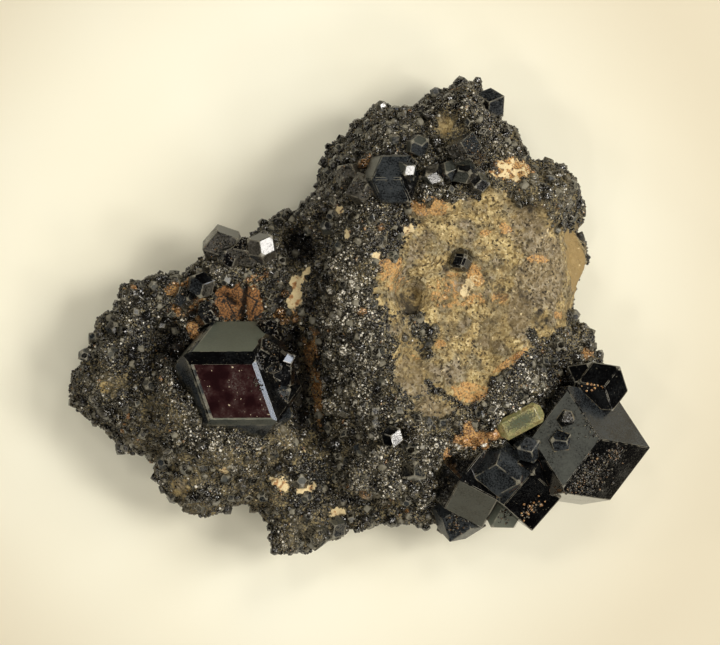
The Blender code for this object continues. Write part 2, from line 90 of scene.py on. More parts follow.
class Step(Enum):
    """What one step of a finish does: its node, inputs in order, output and settings."""

    TIMES = "ShaderNodeMath", (0, 1), 0, {"operation": "MULTIPLY"}
    PLUS = "ShaderNodeMath", (0, 1), 0, {"operation": "ADD"}
    MINUS = "ShaderNodeMath", (0, 1), 0, {"operation": "SUBTRACT"}
    MOST = "ShaderNodeMath", (0, 1), 0, {"operation": "MAXIMUM"}
    # A share, the colour beneath and the colour above.
    LAY = "ShaderNodeMix", (0, 6, 7), 2, {"data_type": "RGBA"}
    DYE = "ShaderNodeMix", (0, 6, 7), 2, {"data_type": "RGBA", "blend_type": "MULTIPLY"}
    # Soft mottling from about 0.25 to 0.75: coordinates, scale and finer layers.
    GRAIN = "ShaderNodeTexNoise", ("Vector", "Scale", "Detail"), "Fac", {}
    CELLS = "ShaderNodeTexVoronoi", ("Vector", "Scale"), "Color", {}
    CRACKS = (
        "ShaderNodeTexVoronoi", ("Vector", "Scale"), "Distance", {"feature": "DISTANCE_TO_EDGE"}
    )
    # A soft threshold: a value, where the result leaves 0 and where it reaches 1.
    BAND = (
        "ShaderNodeMapRange", ("Value", "From Min", "From Max"), "Result",
        {"interpolation_type": "SMOOTHSTEP"},
    )
    RANGE = "ShaderNodeMapRange", ("Value", "To Min", "To Max"), "Result", {}
    RAMP = "ShaderNodeValToRGB", (0,), 0, {}
    RED_PART = "ShaderNodeSeparateColor", (0,), 0, {}
    GREEN_PART = "ShaderNodeSeparateColor", (0,), 1, {}
    PLACE = "ShaderNodeTexCoord", (), "Object", {}
    KEPT = "ShaderNodeAttribute", (), "Fac", {}
    BUMP = "ShaderNodeBump", ("Height", "Normal", "Strength", "Distance"), 0, {}
    STRAIGHT = "ShaderNodeNewGeometry", (), "Normal", {}
    LESS = "ShaderNodeVectorMath", (0, 1), 0, {"operation": "SUBTRACT"}
    SCALED = "ShaderNodeVectorMath", (0, "Scale"), 0, {"operation": "SCALE"}
    JOINED = "ShaderNodeVectorMath", (0, 1), 0, {"operation": "ADD"}
    UNIT = "ShaderNodeVectorMath", (0,), 0, {"operation": "NORMALIZE"}
    APART = "ShaderNodeVectorMath", (0, 1), "Value", {"operation": "DISTANCE"}


def fill(tree: bpy.types.NodeTree, node: bpy.types.Node, inputs: dict) -> None:
    """Sets or links a node's inputs.

    Args:
        tree: The tree it stands in.
        node: The node.
        inputs: By name or number, a linked socket, a number, a hex colour, or None to leave
            that input as it is.
    """
    for key, value in inputs.items():
        if isinstance(value, Socket):
            tree.links.new(value, node.inputs[key])
        elif value is not None:
            node.inputs[key].default_value = linear(value) if isinstance(value, str) else value


def add_node(
    tree: bpy.types.NodeTree,
    step: Step,
    *values: Socket | float | str | tuple | None,
    stops: Sequence[tuple[float, str]] = (),
    **settings: object,
) -> Socket:
    """Adds one node with its settings and links.

    Args:
        tree: The tree it goes in.
        step: What the node does.
        values: Its inputs, in the step's order.
        stops: Place and hex colour of each stop of a colour ramp.
        settings: Further properties of the node.

    Returns:
        The socket of its result.
    """
    kind, inputs, output, fixed = step.value
    node = tree.nodes.new(kind)
    for name, value in (fixed | settings).items():
        setattr(node, name, value)
    fill(tree, node, dict(zip(inputs, values)))
    for number, (place, colour) in enumerate(stops):
        ramp = node.color_ramp.elements
        stop = ramp[number] if number < 2 else ramp.new(place)
        stop.position, stop.color = place, linear(colour)
    return node.outputs[output]


def faceted(add: Adder, chance: Socket, amount: Socket | float) -> Socket:
    """The surface's direction, tilted at random for each crystal face."""
    lean = add(Step.SCALED, add(Step.LESS, chance, (0.5, 0.5, 0.5)), amount)
    return add(Step.UNIT, add(Step.JOINED, lean, add(Step.STRAIGHT)))


# ---------------------------------------------------------------- finishes


@dataclass(frozen=True)
class Finish:
    """A material, named for what it really is. Each kind says how its looks are laid."""

    name: str

    def laid(self, add: Adder, place: Socket) -> dict[str, Socket | float]:
        """The shader's inputs by name, each with the socket or number that the finish sets."""
        raise NotImplementedError

    def material(self) -> bpy.types.Material:
        """Makes the material.

        Returns:
            The material, ready for a piece.
        """
        material = bpy.data.materials.new(self.name)
        material.use_nodes = True
        tree = material.node_tree
        add = partial(add_node, tree)
        fill(tree, tree.nodes["Principled BSDF"], self.laid(add, add(Step.PLACE)))
        return material


@dataclass(frozen=True)
class WeatheredSkarn(Finish):
    """Skarn, split off by hand and weathered: its crust glints grain by grain, and its bare
    hollow is dull and gritty, stained by iron and clay."""

    name: str = "skarn rock, druse crust and weathered hollow"
    black: str = "#0f0e0c"
    brown: str = "#28231a"
    grey: str = "#4c4a40"
    pale: str = "#9a8d69"
    silt: str = "#665b40"
    dark_silt: str = "#2a2317"
    light_silt: str = "#a39367"
    brown_silt: str = "#77653f"
    tan: str = "#d3be8c"
    sand: str = "#ead7a2"
    olive: str = "#aba080"
    cool: str = "#aea28c"
    slab: str = "#a48a58"
    orange: str = "#dfae6a"
    rust: str = "#9a6430"
    calcite: str = "#eed9a8"
    peach: str = "#b98550"
    clay: str = "#a8743e"
    dark_clay: str = "#46301c"
    # The crust's finest crystals are 0.2 to 0.4 mm; the hollow's grit is about 0.4 mm.
    crystal_size: float = 0.3
    grit_size: float = 0.36
    grit_grain: float = 0.4
    speck_size: float = 0.7
    dapple_size: float = 1.3
    stain_size: float = 4.0
    crack_size: float = 4.2

    def ground_share(self, add: Adder, name: str, ragged: Socket, reach: float) -> Socket:
        """How much of one ground shows, with a ragged border.

        Args:
            add: Adds a node to the finish.
            name: The ground's value on the mesh.
            ragged: Mottling that breaks the border.
            reach: How far the mottling carries it.

        Returns:
            The share's socket.
        """
        rough = add(Step.TIMES, add(Step.MINUS, ragged, 0.5), reach)
        share = add(Step.PLUS, add(Step.KEPT, attribute_name=name), rough)
        return add(Step.BAND, share, 0.36, 0.62)

    def hollow(
        self, add: Adder, place: Socket, medium: Socket, wide: Socket, silted: Socket
    ) -> Socket:
        """The bare rock of the hollow: dappled tan, grit by grain, with specks and silt.

        Args:
            add: Adds a node to the finish.
            place: The coordinates in metres.
            medium: Mottling of a millimetre.
            wide: Mottling as wide as the stains.
            silted: How much silt lies there.

        Returns:
            The colour's socket.
        """
        bare = add(
            Step.RAMP, wide,
            stops=[(0.36, self.cool), (0.44, self.olive), (0.54, self.tan), (0.66, self.sand)],
        )
        cool = self.ground_share(add, "cool", medium, 1.2)
        bare = add(Step.LAY, add(Step.TIMES, cool, 0.8), bare, self.cool)
        dapple = add(
            Step.RAMP, add(Step.GRAIN, place, per_mm(self.dapple_size), 5),
            stops=[(0.34, "#857c66"), (0.5, "#dcd8cc"), (0.62, "#ffffff")],
        )
        bare = add(Step.DYE, 0.7, bare, dapple)
        grits = add(Step.CELLS, place, per_mm(self.grit_grain))
        gritty = add(
            Step.RAMP, add(Step.GREEN_PART, grits),
            stops=[(0.0, "#4d4432"), (0.16, "#b3a98f"), (0.45, "#e0d8c4"), (0.9, "#ffffff")],
        )
        bare = add(Step.DYE, 1.0, bare, gritty)
        specks = add(Step.BAND, add(Step.GRAIN, place, per_mm(self.speck_size), 3), 0.6, 0.68)
        bare = add(Step.LAY, add(Step.TIMES, specks, 0.7), bare, self.dark_silt)
        bare = add(Step.LAY, add(Step.TIMES, silted, 0.45), bare, self.brown_silt)
        slab = self.ground_share(add, "slab", medium, 0.4)
        return add(Step.LAY, add(Step.TIMES, slab, 0.85), bare, self.slab)

    def laid(self, add: Adder, place: Socket) -> dict[str, Socket | float]:
        """From the crust up to the youngest stains, then painted shade in cracks and pits.

        Args:
            add: Adds a node to the finish.
            place: The coordinates in metres.

        Returns:
            A socket or a number for each input.
        """
        fine = add(Step.GRAIN, place, per_mm(self.grit_size), 4)
        medium = add(Step.GRAIN, place, per_mm(self.grit_size * 3), 4)
        wide = add(Step.GRAIN, place, per_mm(self.stain_size), 5)
        chance = add(Step.CELLS, place, per_mm(self.crystal_size))
        crust = add(
            Step.RAMP, add(Step.RED_PART, chance),
            stops=[(0.1, self.black), (0.45, self.brown), (0.75, self.grey), (1.0, self.pale)],
        )
        silt = add(
            Step.RAMP, fine,
            stops=[(0.36, self.dark_silt), (0.5, self.silt), (0.64, self.light_silt)],
        )
        silted = self.ground_share(add, "silt", fine, 1.9)
        crust = add(Step.LAY, add(Step.TIMES, silted, 0.85), crust, silt)
        bared = self.ground_share(add, "bare", medium, 2.0)
        colour = add(Step.LAY, bared, crust, self.hollow(add, place, medium, wide, silted))
        clay = add(Step.LAY, add(Step.BAND, fine, 0.35, 0.65), self.dark_clay, self.clay)
        cracks = add(Step.CRACKS, place, per_mm(self.crack_size))
        cracks = add(Step.PLUS, cracks, add(Step.TIMES, fine, 0.1))
        cracks = add(
            Step.TIMES, add(Step.BAND, cracks, 0.12, 0.06), add(Step.BAND, wide, 0.44, 0.5)
        )
        clay = add(Step.LAY, cracks, clay, self.black)
        clayed = self.ground_share(add, "clay", medium, 1.7)
        colour = add(Step.LAY, clayed, colour, clay)
        rust = add(Step.LAY, add(Step.BAND, fine, 0.36, 0.62), self.rust, self.orange)
        rusted = self.ground_share(add, "rust", medium, 1.8)
        rusted = add(Step.TIMES, rusted, add(Step.BAND, fine, 0.3, 0.55))
        colour = add(Step.LAY, add(Step.TIMES, rusted, 0.8), colour, rust)
        cream = add(Step.LAY, add(Step.BAND, medium, 0.36, 0.5), self.peach, self.calcite)
        creamed = self.ground_share(add, "cream", medium, 2.4)
        colour = add(Step.LAY, creamed, colour, cream)
        # Painted shade: the shade patches darken the colour towards black.
        shade = add(Step.TIMES, self.ground_share(add, "shade", medium, 0.8), 0.8)
        dull = add(Step.MOST, silted, add(Step.MOST, bared, clayed))
        dull = add(Step.MOST, dull, add(Step.MOST, rusted, creamed))
        lean = add(Step.TIMES, add(Step.MINUS, 1.0, dull), 1.1)
        height = add(Step.PLUS, fine, add(Step.TIMES, medium, 2.0))
        return {
            "Base Color": add(Step.LAY, shade, colour, self.black),
            "Roughness": add(Step.RANGE, dull, 0.22, 0.85),
            "Normal": add(Step.BUMP, height, faceted(add, chance, lean), 0.9, 0.3 * MM),
            # Calcite and garnet mixed: an index between theirs.
            "IOR": 1.65,
        }


# Andradite garnet bends light this far, which gives grains their hard sparkle and keeps
# clean faces mirror-like.
ANDRADITE_IOR = 1.88


@dataclass(frozen=True)
class MelaniteDruse(Finish):
    """Melanite druse, as grown: grains under 3 mm, black to brown, glassy or etched.

    `lighter` is how far its faces are bleached, and `glassy` the roughness of clean ones.
    """

    lighter: float
    glassy: float
    black: str = "#0c0b0a"
    brown: str = "#26231b"
    grey: str = "#57544a"
    ochre: str = "#877b5b"
    # The palest stop is also the colour of the painted glints.
    pale: str = "#efeadb"
    dust: str = "#6e654c"
    rust: str = "#96673a"
    orange: str = "#d8a86e"
    # The grains' own steps and pits are about 0.3 mm.
    step_size: float = 0.28
    tarnish_size: float = 0.3

    def laid(self, add: Adder, place: Socket) -> dict[str, Socket | float]:
        """Each grain has its own tint, its faces are stepped, and clay dust lies on some.

        Args:
            add: Adds a node to the finish.
            place: The coordinates in metres.

        Returns:
            A socket or a number for each input.
        """
        uneven = add(Step.MINUS, add(Step.GRAIN, place, per_mm(self.tarnish_size), 3), 0.5)
        steps = add(Step.CELLS, place, per_mm(self.step_size))
        chance = add(Step.RED_PART, steps)
        tint = add(Step.PLUS, add(Step.KEPT, attribute_name="tint"), self.lighter)
        stepped = add(Step.TIMES, add(Step.MINUS, chance, 0.5), 0.6)
        body = add(
            Step.RAMP, add(Step.PLUS, tint, stepped),
            stops=[
                (0.28, self.black), (0.52, self.brown), (0.78, self.grey), (0.94, self.ochre),
                (1.0, self.pale),
            ],
        )
        dusty = add(Step.KEPT, attribute_name="dust")
        dusty = add(Step.PLUS, dusty, add(Step.TIMES, uneven, 3.0))
        dusty = add(Step.BAND, dusty, 0.45, 0.8)
        colour = add(Step.LAY, add(Step.TIMES, dusty, 0.9), body, self.dust)
        rusty = add(Step.PLUS, add(Step.KEPT, attribute_name="rust"), uneven)
        rusty = add(Step.BAND, rusty, 0.4, 0.7)
        rust = add(Step.LAY, add(Step.BAND, chance, 0.3, 0.8), self.rust, self.orange)
        return {
            "Base Color": add(Step.LAY, add(Step.TIMES, rusty, 0.9), colour, rust),
            "Roughness": add(Step.RANGE, dusty, self.glassy, 0.7),
            "Normal": faceted(add, steps, 0.85),
            "IOR": ANDRADITE_IOR,
        }


@dataclass(frozen=True)
class MelaniteFace(Finish):
    """Melanite garnet, natural faces: black glass under more or less grey bloom.

    `bloom` is how much of a face its etched grey skin covers, `mottle` how uneven it is, and
    `pitted` how much of the face is broken into small etch pits.
    """

    bloom: float
    mottle: float
    skin: str
    body: str = "#080809"
    dust: str = "#6a624b"
    rust: str = "#8d5429"
    cream: str = "#8f8263"
    # Pale edge lines: partly wear, partly a painted highlight along the edges.
    edge_wear_and_highlight: str = "#aaa48f"
    pit_size: float = 0.32
    etch_size: float = 0.35
    spot_size: float = 0.5
    wear_size: float = 2.2
    haze_size: float = 4.0
    polish: float = 0.07
    shine: float = 0.3
    pitted: float = 0.12

    def fresh(self, add: Adder, fine: Socket, wide: Socket) -> tuple[Socket, Socket]:
        """The black body with its bloom.

        Args:
            add: Adds a node to the finish.
            fine: Fine mottling.
            wide: Wide mottling.

        Returns:
            The colour's socket and the bloom's.
        """
        uneven = add(Step.TIMES, add(Step.MINUS, fine, 0.5), 2.4 * self.mottle)
        clouds = add(Step.TIMES, add(Step.MINUS, wide, 0.5), 2.0 * self.mottle)
        bloom = add(Step.PLUS, add(Step.PLUS, uneven, clouds), self.bloom, use_clamp=True)
        return add(Step.LAY, bloom, self.body, self.skin), bloom

    def soiled(self, add: Adder, place: Socket, fine: Socket) -> Socket:
        """How much clay dust lies at the crystal's foot and in spots.

        Args:
            add: Adds a node to the finish.
            place: The coordinates in metres.
            fine: Fine mottling.

        Returns:
            The share's socket.
        """
        foot = add(Step.BAND, add(Step.KEPT, attribute_name="seat"), 1.3, 0.0)
        foot = add(Step.TIMES, foot, add(Step.BAND, fine, 0.4, 0.6))
        spots = add(Step.BAND, add(Step.GRAIN, place, per_mm(self.spot_size), 2), 0.68, 0.74)
        return add(Step.MOST, foot, add(Step.TIMES, spots, 0.7))

    def laid(self, add: Adder, place: Socket) -> dict[str, Socket | float]:
        """Black glass, bloom, edges pale from wear and painted highlight, foot dust and joint
        fill.

        Args:
            add: Adds a node to the finish.
            place: The coordinates in metres.

        Returns:
            A socket or a number for each input.
        """
        fine = add(Step.GRAIN, place, per_mm(self.etch_size), 3)
        wide = add(Step.GRAIN, place, per_mm(self.haze_size), 4)
        wear = add(Step.GRAIN, place, per_mm(self.wear_size), 3)
        colour, bloom = self.fresh(add, fine, wide)
        pits = add(Step.CELLS, place, per_mm(self.pit_size))
        worn_pits = add(
            Step.RAMP, add(Step.RED_PART, pits),
            stops=[(0.1, "#303030"), (0.5, "#c8c8c8"), (1.0, "#ffffff")],
        )
        colour = add(Step.DYE, self.pitted, colour, worn_pits)
        low = self.soiled(add, place, fine)
        colour = add(Step.LAY, add(Step.TIMES, low, 0.7), colour, self.dust)
        ragged = add(Step.TIMES, add(Step.MINUS, fine, 0.5), 0.05)
        edge = add(Step.PLUS, add(Step.KEPT, attribute_name="edge"), ragged)
        edge = add(Step.TIMES, add(Step.BAND, edge, 0.035, 0.0), add(Step.BAND, wear, 0.43, 0.54))
        # Painted highlight along the edges, broken by the wear noise; partly real wear.
        colour = add(Step.LAY, add(Step.TIMES, edge, 0.5), colour, self.edge_wear_and_highlight)
        joint = add(Step.KEPT, attribute_name="joint")
        joint = add(Step.PLUS, joint, add(Step.TIMES, ragged, 4.0))
        filled = add(
            Step.TIMES, add(Step.BAND, joint, 0.065, 0.02), add(Step.BAND, wear, 0.48, 0.6)
        )
        filling = add(Step.LAY, add(Step.BAND, wide, 0.62, 0.54), self.rust, self.cream)
        rough = add(Step.MOST, add(Step.TIMES, low, 0.8), filled)
        rough = add(Step.MOST, rough, add(Step.TIMES, edge, 0.6))
        rough = add(Step.MOST, rough, add(Step.TIMES, bloom, 0.62))
        tilted = faceted(add, pits, 0.7 * self.pitted**2)
        return {
            "Base Color": add(Step.LAY, add(Step.TIMES, filled, 0.6), colour, filling),
            "Roughness": add(Step.RANGE, rough, self.polish, 0.75),
            "Normal": add(Step.BUMP, fine, tilted, 0.3, (0.01 + 0.05 * self.pitted) * MM),
            "IOR": ANDRADITE_IOR,
            # Etching dulls the faces.
            "Specular IOR Level": self.shine,
        }


@dataclass(frozen=True)
class RedMelaniteFace(Finish):
    """Melanite garnet, a thin clear layer over the core: deep red under a brown haze."""

    name: str = "melanite garnet, red top face"
    red: str = "#301719"
    deep: str = "#1e0d0f"
    haze: str = "#4a3d35"
    fleck: str = "#c4b498"
    etch_size: float = 0.3
    fleck_size: float = 0.6
    haze_size: float = 3.2

    def laid(self, add: Adder, place: Socket) -> dict[str, Socket | float]:
        """Red depth with a drifting haze and small pale flecks.

        Args:
            add: Adds a node to the finish.
            place: The coordinates in metres.

        Returns:
            A socket or a number for each input.
        """
        wide = add(Step.GRAIN, place, per_mm(self.haze_size), 5)
        fine = add(Step.GRAIN, place, per_mm(self.etch_size), 3)
        colour = add(Step.LAY, add(Step.BAND, wide, 0.35, 0.6), self.deep, self.red)
        haze = add(Step.TIMES, add(Step.BAND, wide, 0.4, 0.68), add(Step.BAND, fine, 0.25, 0.7))
        colour = add(Step.LAY, add(Step.TIMES, haze, 0.6), colour, self.haze)
        flecks = add(Step.BAND, add(Step.GRAIN, place, per_mm(self.fleck_size), 2), 0.7, 0.73)
        flecks = add(Step.TIMES, flecks, add(Step.BAND, wide, 0.45, 0.5))
        return {
            "Base Color": add(Step.LAY, flecks, colour, self.fleck),
            "Roughness": add(Step.RANGE, haze, 0.1, 0.4),
            "Normal": add(Step.BUMP, add(Step.PLUS, fine, flecks), None, 0.3, 0.03 * MM),
            "IOR": ANDRADITE_IOR,
        }


class Face(Enum):
    """The finishes of the large garnets' faces, by their number on the mesh."""

    GLASS = 0
    ETCHED = 1
    DUSTY = 2
    SMOKY = 3
    OLIVE = 4
    RED = 5


def face_finishes() -> list[bpy.types.Material]:
    """The materials of the large garnets, in the order of Face.

    Returns:
        One material for each kind of face.
    """
    kinds = (
        MelaniteFace(
            "melanite garnet, mirror faces", 0.03, 0.35, "#3c3f40", shine=0.5, pitted=0.0
        ),
        MelaniteFace("melanite garnet, etched faces", 0.95, 0.25, "#666b5d"),
        MelaniteFace("melanite garnet, dusty faces", 0.7, 0.9, "#524e44", pitted=0.7),
        # The smoky faces' grey skin is partly etching and partly painted sheen, as no room light
        # mirrors in them.
        MelaniteFace("melanite garnet, smoky faces", 0.5, 0.8, "#3c4144", shine=0.15, pitted=0.15),
        MelaniteFace("melanite garnet, olive faces", 0.75, 0.65, "#484b44", pitted=0.15),
        RedMelaniteFace(),
    )
    return [kind.material() for kind in kinds]


@dataclass(frozen=True)
class CloudyDiopside(Finish):
    """Diopside, as grown: a pale green prism, clear at the ends and cloudy inside. Part of
    the light goes through, and veils inside it scatter the rest."""

    name: str = "diopside prism, as grown"
    green: str = "#9c9d69"
    straw: str = "#cdc084"
    cloud: str = "#566353"
    grime: str = "#6f5c33"
    pit_size: float = 0.3
    veil_size: float = 1.3

    def laid(self, add: Adder, place: Socket) -> dict[str, Socket | float]:
        """A green to straw body, its cloudy core, and grime in the pits and at the rim.

        Args:
            add: Adds a node to the finish.
            place: The coordinates in metres.

        Returns:
            A socket or a number for each input.
        """
        veil = add(Step.GRAIN, place, per_mm(self.veil_size), 4)
        fine = add(Step.GRAIN, place, per_mm(self.pit_size), 3)
        colour = add(Step.LAY, add(Step.BAND, veil, 0.38, 0.6), self.green, self.straw)
        core = add(Step.KEPT, attribute_name="core")
        core = add(Step.PLUS, core, add(Step.MINUS, veil, 0.5))
        core = add(Step.PLUS, core, add(Step.TIMES, add(Step.MINUS, fine, 0.5), 1.6))
        core = add(Step.BAND, core, 0.25, 0.75)
        colour = add(Step.LAY, add(Step.TIMES, core, 0.85), colour, self.cloud)
        pits = add(Step.TIMES, add(Step.BAND, fine, 0.52, 0.66), 0.6)
        colour = add(Step.LAY, pits, colour, self.grime)
        rim = add(Step.TIMES, add(Step.BAND, veil, 0.56, 0.64), add(Step.BAND, core, 0.3, 0.0))
        return {
            "Base Color": add(Step.LAY, add(Step.TIMES, rim, 0.6), colour, self.grime),
            "Normal": add(Step.BUMP, fine, None, 0.6, 0.08 * MM),
            "Roughness": 0.25,
            "IOR": 1.68,
            "Transmission Weight": 0.35,
        }


@dataclass(frozen=True)
class CreamPaper(Finish):
    """Heavy drawing paper, rolled and unglazed: matt, warm, with a faint tooth."""

    name: str = "drawing paper, unglazed"
    cream: str = "#fffdea"
    warm: str = "#fdf9e3"
    painted_falloff: str = "#e3dac1"
    tooth_size: float = 0.8
    cloud_size: float = 60.0
    # In metres: the middle of the painted pool of light, and where its painted falloff starts and
    # ends.
    middle: tuple[float, float, float] = (-0.012, 0.002, 0.0)
    falloff_from: float = 0.056
    falloff_to: float = 0.1

    def laid(self, add: Adder, place: Socket) -> dict[str, Socket | float]:
        """A faintly uneven warm white, darker towards the sheet's edges by painted falloff of
        light.

        Args:
            add: Adds a node to the finish.
            place: The coordinates in metres.

        Returns:
            A socket or a number for each input.
        """
        cloud = add(Step.GRAIN, place, per_mm(self.cloud_size), 3)
        tooth = add(Step.GRAIN, place, per_mm(self.tooth_size), 2)
        colour = add(Step.LAY, add(Step.BAND, cloud, 0.3, 0.7), self.cream, self.warm)
        # Painted falloff of light: the sheet darkens away from the middle.
        away = add(Step.APART, place, self.middle)
        away = add(Step.BAND, away, self.falloff_from, self.falloff_to)
        return {
            "Base Color": add(Step.LAY, away, colour, self.painted_falloff),
            "Normal": add(Step.BUMP, tooth, None, 0.15, 0.05 * MM),
            "Roughness": 0.9,
        }


# ---------------------------------------------------------------- grounds of the rock


class Ground(Enum):
    """What the rock's surface is at a place, and where shade and glints are painted on it."""

    BARE = "bare"
    COOL = "cool"
    RUST = "rust"
    CREAM = "cream"
    CLAY = "clay"
    # Painted shade in cracks, pits and valleys.
    SHADE = "shade"
    SILT = "silt"
    SLAB = "slab"
    # A greyer crust that carries more painted glints.
    GLINTING_FROST = "frost"


@dataclass(frozen=True)
class Patch:
    """An ellipse of one ground on the upper surface. Sizes in mm, turn in degrees."""

    x: float
    y: float
    across: float
    along: float
    turn: float
    strength: float

    def share(self, places: np.ndarray, ragged: np.ndarray) -> np.ndarray:
        """How much of this ground lies at each place.

        Args:
            places: Rows of x, y, z in mm.
            ragged: Noise at each place, about -0.5 to 0.5.

        Returns:
            A share from 0 to the patch's strength for each place.
        """
        angle = math.radians(self.turn)
        dx, dy = places[:, 0] - self.x, places[:, 1] - self.y
        u = (dx * math.cos(angle) + dy * math.sin(angle)) / self.across
        v = (dy * math.cos(angle) - dx * math.sin(angle)) / self.along
        gap = PATCH_EDGE - np.hypot(u, v) + PATCH_FADE * ragged
        inside = np.clip(gap / PATCH_FADE, 0, 1)
        return self.strength * inside


BARE_HOLLOW = [
    (10.0, 21.0), (11.9, 18.5), (9.1, 15.1), (7.2, 11.3), (4.4, 8.8), (3.2, 5.1), (6.0, 0.7),
    (8.8, 0.7), (11.9, 1.3), (14.4, -1.2), (16.0, -3.1), (15.4, -5.6), (14.0, -8.0),
    (14.1, -12.8), (16.6, -14.6), (19.1, -16.5), (21.9, -17.4), (24.4, -14.6), (26.9, -10.9),
    (30.1, -8.4), (33.4, -6.5), (33.5, -2.8), (37.0, -3.6), (41.3, -2.5), (41.6, 0.7),
    (43.5, 1.3), (45.6, 8.5), (46.6, 13.2), (44.2, 18.2), (41.6, 17.0), (39.1, 17.2),
    (36.7, 21.0), (33.2, 21.9), (30.7, 23.2), (26.3, 25.4), (24.1, 24.8), (22.9, 22.6),
    (18.2, 22.3), (14.4, 22.6),
]

# A patch fades out round this share of its half-axes, over this share and as raggedly.
PATCH_EDGE, PATCH_FADE = 1.25, 0.5

